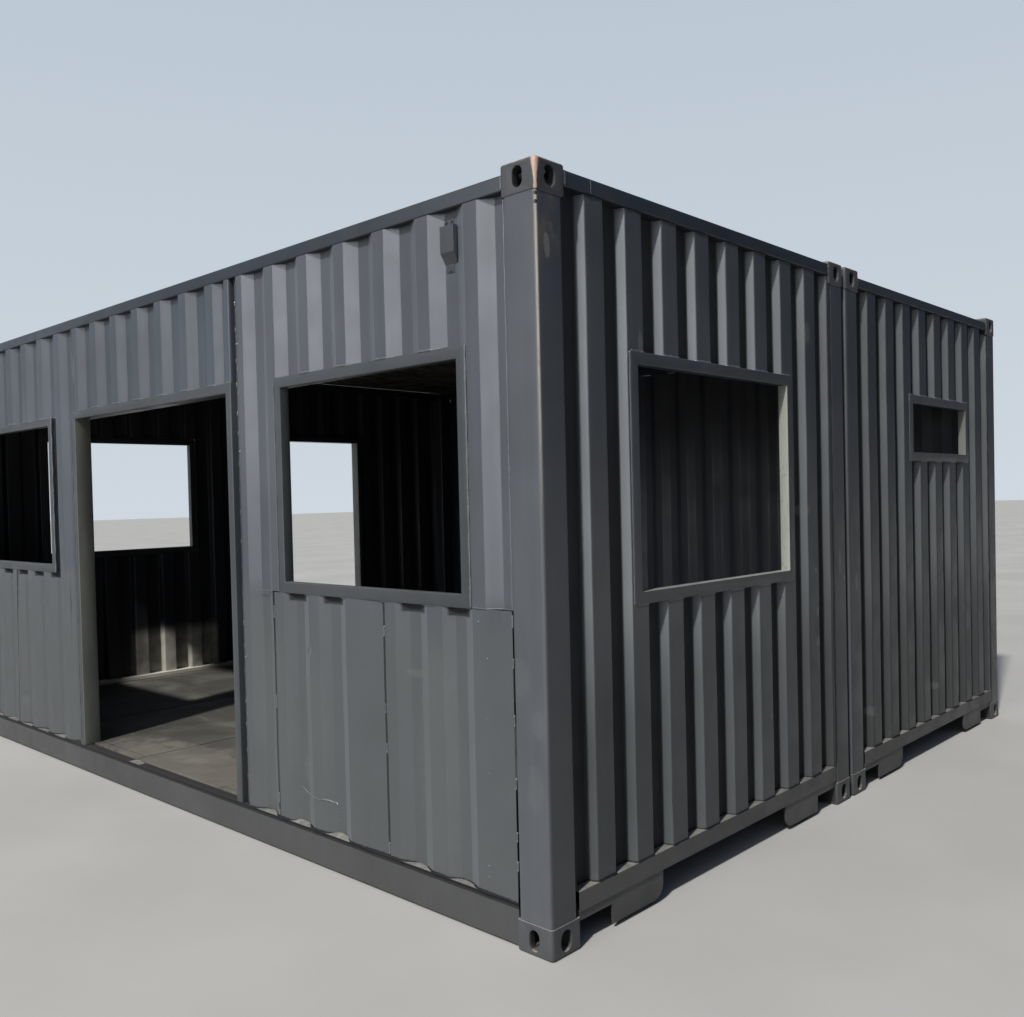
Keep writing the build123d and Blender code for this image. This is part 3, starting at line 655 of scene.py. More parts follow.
def painted(name, base=(0.047, 0.0515, 0.0595), gloss=0.38, dust=1.0, streak=1.0, patchy=1.0,
            rust=0.16, extra=None, specular=0.5, low=0.30, splashed=0.04):
    f = Finish(name)
    dark = tuple(c * 0.86 for c in base)
    light = tuple(c * 1.17 for c in base)
    faded = (base[0] * 1.18, base[1] * 1.20, base[2] * 1.10)
    # broad cloudiness of the sprayed coat
    cloud = f.noise(0.9, 3.0, 0.55)
    col = f.mix(f.span(cloud, 0.32, 0.70), dark, light)
    chalk = f.noise(2.1, 4.0, 0.6, shift=(7.1, 3.3, 1.0))
    col = f.mix(f.math("MULTIPLY", f.span(chalk, 0.50, 0.74), 0.45 * patchy), col, faded)
    # faint upright spray and rain streaks
    rain = f.noise(1.0, 3.0, 0.62, stretch=(26, 26, 0.9), shift=(2.0, 5.0, 0.0))
    col = f.mix(f.math("MULTIPLY", f.span(rain, 0.46, 0.76), 0.20 * streak), col, tuple(c * 1.5 for c in base))
    rain2 = f.noise(1.0, 2.0, 0.6, stretch=(11, 11, 0.5), shift=(12.0, 1.0, 0.0))
    col = f.mix(f.math("MULTIPLY", f.span(rain2, 0.50, 0.74), 0.22 * streak), col, tuple(c * 0.70 for c in base))
    # fine scuffs
    scuff = f.noise(9.0, 5.0, 0.72, stretch=(1, 1, 0.45), shift=(4.0, 9.0, 2.0))
    scuff_mask = f.math("MULTIPLY", f.span(scuff, 0.64, 0.78), 0.22)
    col = f.mix(scuff_mask, col, tuple(c * 2.1 for c in base))
    speck = f.cells(70.0, shift=(1.0, 0.0, 3.0))
    speck_gate = f.span(f.noise(1.7, 1.0, 0.5, shift=(3.0, 8.0, 5.0)), 0.56, 0.66)
    speck_mask = f.math("MULTIPLY", f.math("MULTIPLY", f.span(speck, 0.10, 0.16, 1.0, 0.0), speck_gate), 0.28)
    col = f.mix(speck_mask, col, tuple(c * 2.6 for c in base))
    # dust thrown up from the ground, and dust lying on ledges
    grain = f.noise(14.0, 4.0, 0.65, shift=(0.0, 2.0, 6.0))
    splash = f.span(f.math("ADD", f.z, f.math("MULTIPLY", grain, -0.25)), -0.10, low, 1.0, 0.0)
    splash = f.math("MULTIPLY", f.math("MULTIPLY", splash, f.span(grain, 0.35, 0.75, 0.25, 1.0)), splashed * dust)
    ledge = f.math("MULTIPLY", f.span(f.nz, 0.72, 0.96), f.span(grain, 0.30, 0.62, 0.45, 0.92))
    ledge = f.math("MULTIPLY", ledge, 0.95 * dust)
    dusty = f.math("MAXIMUM", splash, ledge)
    col = f.mix(dusty, col, DUST)
    # rust pinholes
    pits = f.noise(38.0, 3.0, 0.6, shift=(9.0, 4.0, 4.0))
    zone = f.span(chalk, 0.58, 0.70)
    rusty = f.math("MULTIPLY", f.math("MULTIPLY", f.span(pits, 0.63, 0.70), zone), rust)
    col = f.mix(rusty, col, RUST)
    rough = f.span(f.noise(5.0, 2.0, 0.6, shift=(8.0, 8.0, 8.0)), 0.3, 0.7, gloss - 0.05, gloss + 0.08)
    rough = f.math("ADD", rough, f.math("MULTIPLY", dusty, 0.35))
    rough = f.math("ADD", rough, f.math("MULTIPLY", rusty, 0.30), clamp=True)
    # orange peel of the sprayed coat, and soft hand-sized waves
    peel = f.noise(150.0, 1.0, 0.5)
    soft = f.noise(7.0, 1.0, 0.5, stretch=(1, 1, 0.4))
    normal = f.bump(soft, 0.10, 0.010)
    normal = f.bump(peel, 0.12, 0.0012, normal)
    normal = f.bump(grain, 0.06, 0.002, normal)
    if extra is not None:
        col, rough, normal = extra(f, col, rough, normal)
    return f.done(col, rough, normal, specular=specular)


def shade_cabin_side(f, col, axis):
    """Painted shade: darker paint on the faces turned into the cabin."""
    place, face = (f.y, f.ny) if axis == "y" else (f.x, f.nx)
    within = f.span(f.math("MULTIPLY", place, face), 0.4, -0.4)
    return f.mix(within, col, f.mix(1.0, col, (0.46, 0.48, 0.54), "MULTIPLY"))


def back_extra(f, col, rough, normal):
    return shade_cabin_side(f, col, "y"), rough, normal


def wall_extra(f, col, rough, normal):
    col = shade_cabin_side(f, col, "y")
    # the lower wall has weathered to a flatter, greener grey
    lower = f.math("MULTIPLY", f.span(f.z, 1.30, 1.10), f.span(f.ny, 0.2, -0.2, 0.0, 1.0))
    col = f.mix(f.math("MULTIPLY", lower, 0.6), col, (0.048, 0.052, 0.0515))
    rough = f.math("ADD", rough, f.math("MULTIPLY", lower, 0.10), clamp=True)
    # the upper wall left of the door's right edge is darker and bluer; right of it, slopes of the corrugations facing
    # either way are painted paler than the flats, a painted highlight
    upper = f.span(f.z, 1.24, 1.34)
    right = f.span(f.x, 0.93, 1.05)
    outside = f.span(f.ny, 0.0, -0.3)
    col = f.scaled(f.math("MULTIPLY", f.math("SUBTRACT", 1.0, right), f.math("MULTIPLY", upper, outside)), col,
                   (0.76, 0.83, 0.90))
    col = f.scaled(f.math("MULTIPLY", f.math("MULTIPLY", f.span(f.nx, 0.14, 0.34), upper), right), col, 1.38)
    col = f.scaled(f.math("MULTIPLY", f.math("MULTIPLY", f.span(f.nx, -0.12, -0.30), outside), right), col, 1.60)
    # dark cracks at the open joints, and the lapped joint under the left window
    below = f.span(f.z, 1.2625, 1.2615)
    lap = f.math("ADD", f.x, f.math("MULTIPLY", f.math("SUBTRACT", 1.252, f.z), 0.0292))
    ragged = f.math("MULTIPLY", f.math("SUBTRACT", f.noise(30.0, 2.0, 0.6), 0.5), 0.004)
    for place, at, half in ((f.x, 1.266, 0.0082), (f.x, 2.0985, 0.0105), (lap, -2.004, 0.0060)):
        gap = f.math("ADD", f.math("ABSOLUTE", f.math("SUBTRACT", place, at)), ragged)
        crack = f.math("MULTIPLY", f.span(gap, half + 0.0012, half), below)
        col = f.mix(f.math("MULTIPLY", crack, 0.95), col, (0.004, 0.004, 0.004))
        rough = f.mix(crack, rough, 0.9)
    # painted shadow: the hollows where the sheets run up behind the window frames are painted black and made rough, as
    # the frames' bottoms shade them
    hollow = f.math("MULTIPLY", f.span(f.y, FLAT_Y + 0.007, FLAT_Y + 0.014), outside)
    hollow = f.math("MULTIPLY", hollow, f.math("MULTIPLY", f.span(f.z, WIN_Z0 - 0.040, WIN_Z0 - 0.030),
                                               f.span(f.z, WIN_Z0 + 0.001, WIN_Z0)))
    for lo, hi in (R_WIN, L_WIN):
        under = f.span(f.math("ABSOLUTE", f.math("SUBTRACT", f.x, (lo + hi) / 2)), (hi - lo) / 2 + 0.004, (hi - lo) / 2)
        frame_shadow = f.math("MULTIPLY", f.math("MULTIPLY", hollow, under), 0.95)
        col = f.mix(frame_shadow, col, (0.004, 0.004, 0.005))
        rough = f.mix(frame_shadow, rough, 0.95)
    # touched-up blots and rubbed places
    for centre, size, tone, amount in (
        ((1.24, -2.42, 0.60), (0.16, 0.2, 0.50), (0.062, 0.067, 0.066), 0.35),
        ((2.42, -2.42, 0.62), (0.14, 0.2, 0.50), (0.064, 0.069, 0.067), 0.40),
        ((1.58, -2.42, 0.55), (0.10, 0.2, 0.45), (0.058, 0.064, 0.062), 0.40),
        ((1.50, -2.43, 0.44), (0.05, 0.1, 0.07), (0.078, 0.084, 0.084), 0.35),
        ((2.30, -2.42, 0.97), (0.09, 0.1, 0.018), (0.10, 0.105, 0.10), 0.25),
        ((-0.95, -2.44, 2.55), (0.02, 0.1, 0.10), (0.10, 0.105, 0.11), 0.35),
    ):
        col = f.mix(f.math("MULTIPLY", f.spot(centre, size), amount), col, tone)
    return col, rough, normal


def end_extra(f, col, rough, normal):
    col = shade_cabin_side(f, col, "x")
    # pale dust on the inside of the far end wall, where it comes down to the floor, kept to the patch the key light
    # reaches through the openings: partly dust, partly painted light
    inside = f.math("MULTIPLY", f.span(f.x, -2.90, -2.93), f.span(f.nx, -0.2, 0.2))
    low = f.math("MULTIPLY", f.span(f.z, 0.64, 0.50), f.span(f.math("ABSOLUTE", f.math("ADD", f.y, 0.80)), 0.42, 0.34))
    cloud = f.span(f.noise(6.0, 2.0, 0.6, shift=(2.0, 2.0, 9.0)), 0.30, 0.62, 0.55, 1.0)
    col = f.mix(f.math("MULTIPLY", f.math("MULTIPLY", inside, low), cloud), col, (0.36, 0.35, 0.31))
    # painted highlight: the flanks that face the key light are painted paler, more so higher up
    out = f.span(f.math("MULTIPLY", f.x, f.nx), -0.2, 0.2)
    lit_flank = f.math("MULTIPLY", f.span(f.ny, -0.45, -0.85), out)
    rise = f.span(f.z, 0.6, 2.1)
    col = f.scaled(f.math("MULTIPLY", lit_flank, f.math("SUBTRACT", 1.0, rise)), col, (1.75, 1.78, 1.74))
    col = f.scaled(f.math("MULTIPLY", lit_flank, rise), col, (2.75, 2.80, 2.78))
    # painted shade: the deep hollows are painted darker and made rougher
    deep = f.span(f.math("ABSOLUTE", f.x), END_X - 0.036, END_X - 0.041)
    col = f.scaled(f.math("MULTIPLY", deep, out), col, 0.22)
    # darker towards the bottom, and darker still on the rear unit
    col = f.scaled(f.math("MULTIPLY", f.span(f.z, 1.3, 0.8), out), col, 0.66)
    col = f.scaled(f.math("MULTIPLY", f.span(f.y, -0.95, -0.05), out), col, 0.48)
    rough = f.math("ADD", rough, f.math("MULTIPLY", f.math("MULTIPLY", deep, out), 0.3), clamp=True)
    for centre, size, tone, amount in (
        ((3.0, -0.425, 2.49), (0.1, 0.040, 0.060), (0.075, 0.078, 0.080), 0.50),
        ((3.0, -0.455, 1.585), (0.1, 0.050, 0.030), (0.075, 0.078, 0.080), 0.45),
        ((3.0, -0.345, 1.055), (0.1, 0.020, 0.030), (0.085, 0.088, 0.090), 0.6),
        ((3.0, -0.350, 0.900), (0.1, 0.018, 0.024), (0.080, 0.083, 0.085), 0.6),
        ((3.0, -0.365, 1.272), (0.1, 0.016, 0.016), (0.090, 0.093, 0.095), 0.6),
        ((3.0, -0.83, 0.600), (0.1, 0.024, 0.020), (0.070, 0.073, 0.075), 0.6),
        ((3.0, 0.31, 0.415), (0.1, 0.030, 0.028), (0.055, 0.058, 0.060), 0.6),
        ((3.0, 0.99, 0.622), (0.1, 0.022, 0.020), (0.055, 0.058, 0.060), 0.6),
        ((3.0, 0.76, 0.992), (0.1, 0.020, 0.018), (0.055, 0.058, 0.060), 0.6),
        ((3.0, 1.30, 0.402), (0.1, 0.024, 0.022), (0.055, 0.058, 0.060), 0.6),
        ((3.0, 1.18, 0.75), (0.1, 0.016, 0.10), (0.050, 0.053, 0.055), 0.6),
        ((3.0, -1.843, 2.285), (0.1, 0.016, 0.06), (0.10, 0.105, 0.105), 0.6),
    ):
        col = f.mix(f.math("MULTIPLY", f.spot(centre, size, 0.30, 60.0), amount), col, tone)
    return col, rough, normal


def post_extra(f, col, rough, normal):
    # the near corner has a pale upright line that fades downwards: rubbed bare paint, and a painted highlight on the
    # rounded edge
    ragged = f.noise(60.0, 4.0, 0.6, stretch=(1, 1, 0.25))
    line = f.near_line(HALF_L - POST_INSET - 0.0047, -HALF_W + POST_INSET + 0.0047, 0.0014, 0.0066)
    fade = f.span(f.z, 1.42, 2.30, 0.0, 1.0)
    fade = f.math("MAXIMUM", fade, f.math("MULTIPLY", f.span(f.z, 0.5, 1.4), 0.12))
    wear = f.math("MULTIPLY", line, f.math("MULTIPLY", fade, f.span(ragged, 0.22, 0.50, 0.55, 1.0)))
    wear = f.math("MULTIPLY", wear, 0.58)
    # painted shade: the end face of the post, edge-on to the key light, is painted darker
    col = f.mix(f.span(f.math("ABSOLUTE", f.nx), 0.45, 0.95), col, f.mix(1.0, col, (0.76, 0.77, 0.78), "MULTIPLY"))
    # smoke-brown smudges on the end face just under the casting
    smudge = f.noise(13.0, 5.0, 0.65, shift=(0.0, 1.0, 2.0), stretch=(1, 1, 0.6))
    near_top = f.math("MULTIPLY", f.span(f.z, 2.42, 2.72), f.near_line(3.026, -2.40, 0.03, 0.09))
    col = f.mix(f.math("MULTIPLY", f.math("MULTIPLY", f.span(smudge, 0.44, 0.60), near_top), 0.75), col,
                (0.085, 0.072, 0.055))
    pale = f.spot((3.026, -2.400, 2.585), (0.02, 0.016, 0.050), 0.4, 50.0)
    col = f.mix(f.math("MULTIPLY", pale, 0.35), col, (0.20, 0.20, 0.19))
    for centre, size, amount in (
        ((3.026, -0.10, 1.30), (0.05, 0.012, 0.07), 0.4),
        ((3.026, 0.10, 1.18), (0.05, 0.016, 0.05), 0.4),
        ((3.026, -0.05, 1.21), (0.05, 0.010, 0.020), 0.5),
        ((2.90, -2.457, 1.02), (0.05, 0.05, 0.08), 0.08),
        ((2.96, -2.457, 0.62), (0.04, 0.05, 0.10), 0.08),
        ((2.98, -2.457, 0.86), (0.03, 0.05, 0.06), 0.08),
    ):
        col = f.mix(f.math("MULTIPLY", f.spot(centre, size, 0.35, 55.0), amount), col, (0.17, 0.175, 0.175))
    # the end faces are darker still on the rear unit and towards the bottom
    col = f.scaled(f.math("MULTIPLY", f.span(f.math("ABSOLUTE", f.nx), 0.45, 0.95), f.span(f.y, -1.2, -0.3)), col, 0.70)
    col = f.scaled(f.math("MULTIPLY", f.span(f.math("ABSOLUTE", f.nx), 0.45, 0.95), f.span(f.z, 1.3, 0.8)), col, 0.85)
    col = f.mix(wear, col, (0.40, 0.345, 0.285))
    # two old bolt holes under the casting
    for z in (2.763, 2.732):
        hole = f.spot((3.0215, -2.4495, z), (0.010, 0.008, 0.0080), 0.03, 50.0)
        col = f.mix(hole, col, (0.006, 0.006, 0.006))
    rough = f.mix(wear, rough, 0.52)
    return col, rough, normal


def casting_extra(f, col, rough, normal):
    # cast metal: coarser skin, paint rubbed off at the outer corner, which also stands in for a painted highlight along
    # that edge
    coarse = f.noise(75.0, 5.0, 0.65)
    normal = f.bump(coarse, 0.35, 0.0022, normal)
    wide = f.span(f.z, 2.80, 2.90, 0.010, 0.026)
    dx = f.math("SUBTRACT", f.x, 3.026)
    dy = f.math("SUBTRACT", f.y, -2.454)
    d = f.math("SQRT", f.math("ADD", f.math("MULTIPLY", dx, dx), f.math("MULTIPLY", dy, dy)))
    ragged = f.noise(45.0, 4.0, 0.6)
    d = f.math("ADD", d, f.math("MULTIPLY", f.math("SUBTRACT", ragged, 0.5), 0.010))
    wear = f.math("SUBTRACT", 1.0, f.math("DIVIDE", d, wide), clamp=True)
    wear = f.math("MULTIPLY", f.span(wear, 0.12, 0.50), f.span(f.z, 2.70, 2.79))
    # painted shade: the faces inside the hollow are darkened to near black
    shell = f.span(f.math("ABSOLUTE", f.x), 3.017, 3.023)
    for part in (f.span(f.math("ABSOLUTE", f.y), 2.445, 2.451), f.span(f.z, 2.880, 2.886), f.span(f.z, 0.016, 0.010),
                 f.span(f.math("ABSOLUTE", f.y), 0.036, 0.030)):
        shell = f.math("MAXIMUM", shell, part)
    col = f.scaled(f.math("SUBTRACT", 1.0, shell), col, 0.35)
    col = f.mix(wear, col, (0.27, 0.175, 0.125))
    core = f.math("MULTIPLY", f.span(wear, 0.7, 1.0), 0.60)
    col = f.mix(core, col, (0.38, 0.29, 0.235))
    # the other top edges are only touched
    rim = f.math("MULTIPLY", f.span(f.z, 2.884, 2.895), f.span(f.noise(18.0, 4.0, 0.6, shift=(3, 3, 3)), 0.44, 0.60))
    col = f.mix(f.math("MULTIPLY", rim, 0.40), col, (0.34, 0.27, 0.20))
    rough = f.mix(wear, rough, 0.55)
    return col, rough, normal


def jamb_extra(axis, tone, centre, sill_z, jambs=1.0):
    def extra(f, col, rough, normal):
        # hand marks
        hand = f.noise(4.0, 3.0, 0.6, shift=(1.0, 7.0, 3.0))
        col = f.mix(f.math("MULTIPLY", f.span(hand, 0.52, 0.72), 0.20), col, (0.060, 0.064, 0.066))
        # the faces turned to the opening, and the sill top, are painted a pale grey-green: partly primer, partly
        # painted light where the key light falls on them
        place, face = (f.x, f.nx) if axis == "y" else (f.y, f.ny)
        turned = f.math("MULTIPLY", f.math("SUBTRACT", place, centre), face)
        inner = f.math("MULTIPLY", f.span(turned, -0.16, -0.36), jambs)
        ledge = f.math("MULTIPLY", f.span(f.nz, 0.5, 0.9), f.span(f.z, sill_z + 0.12, sill_z + 0.10))
        inner = f.math("MAXIMUM", inner, f.math("MULTIPLY", ledge, 0.9))
        drip = f.noise(3.0, 3.0, 0.62, stretch=(4, 4, 0.8), shift=(3.0, 1.0, 2.0))
        primer_and_light = f.mix(f.span(drip, 0.32, 0.68), tuple(c * 0.75 for c in tone), tone)
        chips = f.noise(24.0, 2.0, 0.6, shift=(6.0, 2.0, 2.0))
        primer_and_light = f.mix(f.math("MULTIPLY", f.span(chips, 0.62, 0.68), 0.4), primer_and_light, (0.11, 0.11, 0.10))
        col = f.mix(inner, col, primer_and_light)
        rough = f.math("ADD", rough, f.math("MULTIPLY", inner, 0.15), clamp=True)
        return col, rough, normal
    return extra


WALL_PAINT = painted("wall_paint", extra=wall_extra)
# the end walls take a darker base than the side wall: painted shade, as they face the key light edge-on
END_PAINT_SHADED = painted("end_wall_paint_shaded", extra=end_extra, base=(0.039, 0.0425, 0.047))
BACK_PAINT = painted("back_wall_paint", extra=back_extra)
POST_PAINT = painted("post_paint", extra=post_extra, base=(0.048, 0.052, 0.059), patchy=0.8)
CASTING_PAINT = painted("casting_paint", extra=casting_extra, base=(0.033, 0.035, 0.038), gloss=0.50, rust=0.5)


def rail_extra(f, col, rough, normal):
    # painted shadow: a black band along the top of the rail where the wall stands on it, below the lip
    ragged = f.math("MULTIPLY", f.math("SUBTRACT", f.noise(22.0, 2.0, 0.6), 0.5), 0.006)
    edge = f.span(f.math("ADD", f.z, ragged), 0.1450, 0.1480)
    col = f.mix(f.math("MULTIPLY", edge, 0.95), col, (0.005, 0.005, 0.006))
    rough = f.mix(edge, rough, 0.95)
    return col, rough, normal


def sill_extra(f, col, rough, normal):
    # pale on the inside of the far sill: partly dust, partly painted light for the sunlit ledge
    inside = f.math("MULTIPLY", f.span(f.x, -2.90, -2.93), f.math("MAXIMUM", f.span(f.nx, 0.2, 0.6), f.span(f.nz, 0.2, 0.6)))
    col = f.mix(f.math("MULTIPLY", inside, f.span(f.y, 0.0, -0.1)), col, (0.52, 0.505, 0.44))
    return col, rough, normal


TOP_RAIL_PAINT = painted("top_rail_paint", base=(0.015, 0.019, 0.026), rust=0.25, specular=0.4)
RAIL_PAINT = painted("bottom_rail_paint", base=(0.037, 0.038, 0.040), gloss=0.50, rust=0.20, dust=0.3, extra=rail_extra)
SILL_PAINT = painted("sill_paint", base=(0.033, 0.034, 0.035), gloss=0.48, rust=0.25, dust=0.55, extra=sill_extra)
TUBE = (0.030, 0.034, 0.038)
# pale tones for the faces turned to the openings: partly primer, partly painted light
PALE, PALER = (0.105, 0.111, 0.098), (0.23, 0.24, 0.21)
FRAME_PAINTS = {}
for node, axis, tone, centre, sill_z, jambs in (
    ("front_right_window_frame", "y", PALER, 1.9775, -1.0, 0.0),
    ("front_left_window_frame", "y", PALE, -1.9815, -1.0, 0.6),
    ("front_door_frame", "y", PALE, -0.035, -1.0, 1.0),
    ("right_end_window_frame", "x", PALER, -1.2555, END_WIN_Z0, 1.0),
    ("left_end_window_frame", "x", PALE, -1.238, WIN_Z0, 0.3),
    ("small_window_frame", "x", PALE, 1.398, SMALL_Z0, 1.0),
    ("left_end_door_frame", "x", PALE, 0.7175, 0.0, 1.0),
):
    FRAME_PAINTS[node] = painted(node + "_paint", base=TUBE, streak=0.6, patchy=0.7, dust=0.25,
                                 extra=jamb_extra(axis, tone, centre, sill_z, jambs))
# near-black paint for the welds along the wall feet, end wall tops and edges: painted shade where the sheets meet the
# rails
SHADED_WELD = painted("weld_painted_shade", base=(0.008, 0.0085, 0.010), gloss=0.60, dust=0.0, streak=0.4, specular=0.2)
WELD_PAINT = painted("painted_weld", base=(0.066, 0.070, 0.076), gloss=0.32, dust=0.3, specular=0.7)
UNDER_PAINT = painted("under_frame_paint", base=(0.022, 0.022, 0.022), gloss=0.70, dust=1.2, rust=0.8, low=0.7,
                      splashed=0.2)
HOOD_PAINT = painted("vent_paint", base=(0.031, 0.035, 0.040), rust=0.5)


def roof_finish():
    def extra(f, col, rough, normal):
        # the underside is brown with smoke and old sealer
        under = f.span(f.nz, -0.2, -0.5, 0.0, 1.0)
        soot = f.noise(1.6, 5.0, 0.6)
        brown = f.mix(f.span(soot, 0.35, 0.68), (0.050, 0.040, 0.030), (0.115, 0.090, 0.066))
        col = f.mix(f.math("MULTIPLY", under, 0.85), col, brown)
        return col, rough, normal
    return painted("roof_paint", base=(0.062, 0.066, 0.070), dust=0.9, extra=extra, rust=0.7)


def floor_finish():
    f = Finish("worn_plywood")
    # each board is a shade of its own; grain runs across the units
    board = f.add("ShaderNodeTexWhiteNoise")
    board.noise_dimensions = "1D"
    plank = f.math("FLOOR", f.math("DIVIDE", f.math("ADD", f.x, 0.342), 1.220))
    f.join(f.math("ADD", plank, f.math("MULTIPLY", f.math("GREATER_THAN", f.y, 0.0), 7.0)), board.inputs["W"])
    tone = board.outputs["Value"]
    col = f.mix(tone, (0.058, 0.056, 0.049), (0.082, 0.079, 0.068))
    grain = f.noise(5.0, 7.0, 0.6, stretch=(22, 1.1, 1), distort=0.5)
    col = f.mix(f.math("MULTIPLY", f.span(grain, 0.35, 0.70), 0.55), col, (0.042, 0.040, 0.035))
    wear = f.noise(1.7, 6.0, 0.65, distort=0.8)
    col = f.mix(f.math("MULTIPLY", f.span(wear, 0.48, 0.66), 0.60), col, (0.118, 0.114, 0.100))
    drag = f.noise(2.2, 7.0, 0.7, stretch=(1, 11, 1), turn=(0, 0, 0.5))
    col = f.mix(f.math("MULTIPLY", f.span(drag, 0.57, 0.66), 0.60), col, (0.026, 0.025, 0.022))
    drag2 = f.noise(2.8, 7.0, 0.7, stretch=(13, 1, 1), turn=(0, 0, 0.22), shift=(4, 1, 0))
    col = f.mix(f.math("MULTIPLY", f.span(drag2, 0.58, 0.66), 0.50), col, (0.145, 0.140, 0.122))
    stain = f.noise(0.8, 4.0, 0.55, shift=(3, 2, 0), distort=1.2)
    col = f.mix(f.math("MULTIPLY", f.span(stain, 0.50, 0.64), 0.55), col, (0.030, 0.028, 0.024))
    # dark joints across the boards, and one along the edge strip
    part = f.math("SUBTRACT", f.math("FRACT", f.math("ADD", f.math("DIVIDE", f.math("ADD", f.x, 0.342), 1.220), 0.5)), 0.5)
    joint = f.span(f.math("ABSOLUTE", part), 0.0068, 0.0040)
    strip = f.math("MULTIPLY", f.span(f.math("ABSOLUTE", f.math("ADD", f.y, 2.346)), 0.0060, 0.0035),
                   f.math("LESS_THAN", f.x, -0.342))
    col = f.mix(f.math("MAXIMUM", joint, strip), col, (0.006, 0.006, 0.006))
    door_sand = f.spot((0.0, -2.25, 0.18), (0.9, 0.28, 0.4), 0.5, 9.0)
    col = f.mix(f.math("MULTIPLY", door_sand, 0.22), col, (0.22, 0.20, 0.165))
    rough = f.span(wear, 0.3, 0.7, 0.62, 0.86)
    normal = f.bump(grain, 0.35, 0.002)
    normal = f.bump(f.noise(40.0, 5.0, 0.6), 0.20, 0.0015, normal)
    normal = f.bump(drag, 0.20, 0.002, normal)
    return f.done(col, rough, normal, specular=0.35)


ROOF_PAINT = roof_finish()
FLOOR_WOOD = floor_finish()


def give(obj, material):
    obj.data.materials.clear()
    obj.data.materials.append(material)


for obj in SHEETS:
    if obj.name.startswith("roof"):
        give(obj, ROOF_PAINT)
    elif obj.name.startswith("end_sheet"):
        give(obj, END_PAINT_SHADED)
    elif obj.name == "wall_sheet_back":
        give(obj, BACK_PAINT)
    else:
        give(obj, WALL_PAINT)


# ----------------------------------------- smooth rounded edges on CAD nodes
def shading_group():
    """Smooth shading, kept sharp where two faces meet at more than 32 degrees."""
    g = bpy.data.node_groups.new("shade_by_angle", "GeometryNodeTree")
    g.interface.new_socket("Geometry", in_out="INPUT", socket_type="NodeSocketGeometry")
    g.interface.new_socket("Geometry", in_out="OUTPUT", socket_type="NodeSocketGeometry")
    a, z = g.nodes.new("NodeGroupInput"), g.nodes.new("NodeGroupOutput")
    angle = g.nodes.new("GeometryNodeInputMeshEdgeAngle")
    flat = g.nodes.new("FunctionNodeCompare")
    flat.data_type, flat.operation = "FLOAT", "LESS_THAN"
    flat.inputs["B"].default_value = math.radians(32)
    face, edge = g.nodes.new("GeometryNodeSetShadeSmooth"), g.nodes.new("GeometryNodeSetShadeSmooth")
    face.domain, edge.domain = "FACE", "EDGE"
    face.inputs["Shade Smooth"].default_value = True
    g.links.new(a.outputs[0], face.inputs["Geometry"])
    g.links.new(face.outputs[0], edge.inputs["Geometry"])
    g.links.new(angle.outputs["Unsigned Angle"], flat.inputs["A"])
    g.links.new(flat.outputs["Result"], edge.inputs["Shade Smooth"])
    g.links.new(edge.outputs[0], z.inputs[0])
    return g


SHADE = shading_group()


def soften(node, width, segments=3, angle=40.0):
    obj = NODES[node]
    weld = obj.modifiers.new("weld", "WELD")
    weld.merge_threshold = 0.00005
    if width:
        bevel = obj.modifiers.new("bevel", "BEVEL")
        bevel.width = width
        bevel.segments = segments
        bevel.limit_method = "ANGLE"
        bevel.angle_limit = math.radians(angle)
        bevel.use_clamp_overlap = True
    shade = obj.modifiers.new("shade", "NODES")
    shade.node_group = SHADE


for name, obj in NODES.items():
    if name.endswith("castings"):
        give(obj, CASTING_PAINT)
        soften(name, 0.0045, 3)
    elif name.endswith("posts"):
        give(obj, POST_PAINT)
        soften(name, 0.0)
    elif name.endswith("frame"):
        give(obj, FRAME_PAINTS[name])
        soften(name, 0.0045, 3)
    elif name.endswith("floor_boards"):
        give(obj, FLOOR_WOOD)
        soften(name, 0.0018, 2)
    elif name.endswith("cross_members"):
        give(obj, UNDER_PAINT)
        soften(name, 0.0)
    elif name == "vent_covers":
        give(obj, HOOD_PAINT)
        soften(name, 0.0012, 2)
    elif name.endswith(("rails", "sills", "plates", "strips")):
        give(obj, TOP_RAIL_PAINT if "top" in name or "roof" in name else SILL_PAINT if "sill" in name else RAIL_PAINT)
        soften(name, 0.0015 if "plates" in name or "sills" in name else 0.0010, 2)
    elif not obj.hide_render:
        give(obj, WALL_PAINT)


# --------------------------------------------------------- welds and fixings
def along(line, z, y0=FLAT_Y, radius=0.014):
    pts = rounded(line, radius, 3, 0.02)
    return [(u, y0 + v - 0.001, z) for u, v in pts]


def end_along(line, z, sign=1, lift=0.001):
    pts = rounded(line, 0.011, 3, 0.02)
    return [(sign * (END_X - v + lift), u, z) for u, v in pts]


heads = Beads("welds_over_frames", 21)
for (lo, hi), z in ((R_WIN, WIN_Z1), (L_WIN, WIN_Z1)):
    heads.run(along(side_line(lo + 0.004, hi - 0.004), z + 0.0015), (0, -0.7, 0.7), 0.010, 0.0045)
    # under the sill the sheet is only caught here and there
    heads.run(along(side_line(lo + 0.004, hi - 0.004), WIN_Z0 - 0.0015), (0, -0.7, -0.7), 0.006, 0.0025, 0.010)
heads.run(along(side_line(-0.949, 0.826), DOOR_HEAD + 0.0015), (0, -0.7, 0.7), 0.009, 0.0040)
heads.run([(0.880, FLAT_Y - 0.001, DOOR_HEAD + 0.0015), (0.928, FLAT_Y - 0.001, DOOR_HEAD + 0.0015)], (0, -0.7, 0.7), 0.009, 0.004)
for lo, hi in (R_WIN, L_WIN):
    for x, side in ((lo, -1), (hi, 1)):
        heads.run([(x + side * 0.0015, FLAT_Y - 0.0005, WIN_Z1), (x + side * 0.0015, FLAT_Y - 0.0005, WIN_Z0)],
                  (side * 0.6, -0.8, 0), 0.009, 0.0042, 0.006, 0.009, 0.40)
heads.run([(-1.0015, FLAT_Y - 0.0005, DOOR_HEAD), (-1.0015, FLAT_Y - 0.0005, 0.176)], (-0.6, -0.8, 0), 0.008, 0.0035)
heads.make(WELD_PAINT)

seams = Beads("welds_on_seams", 22)
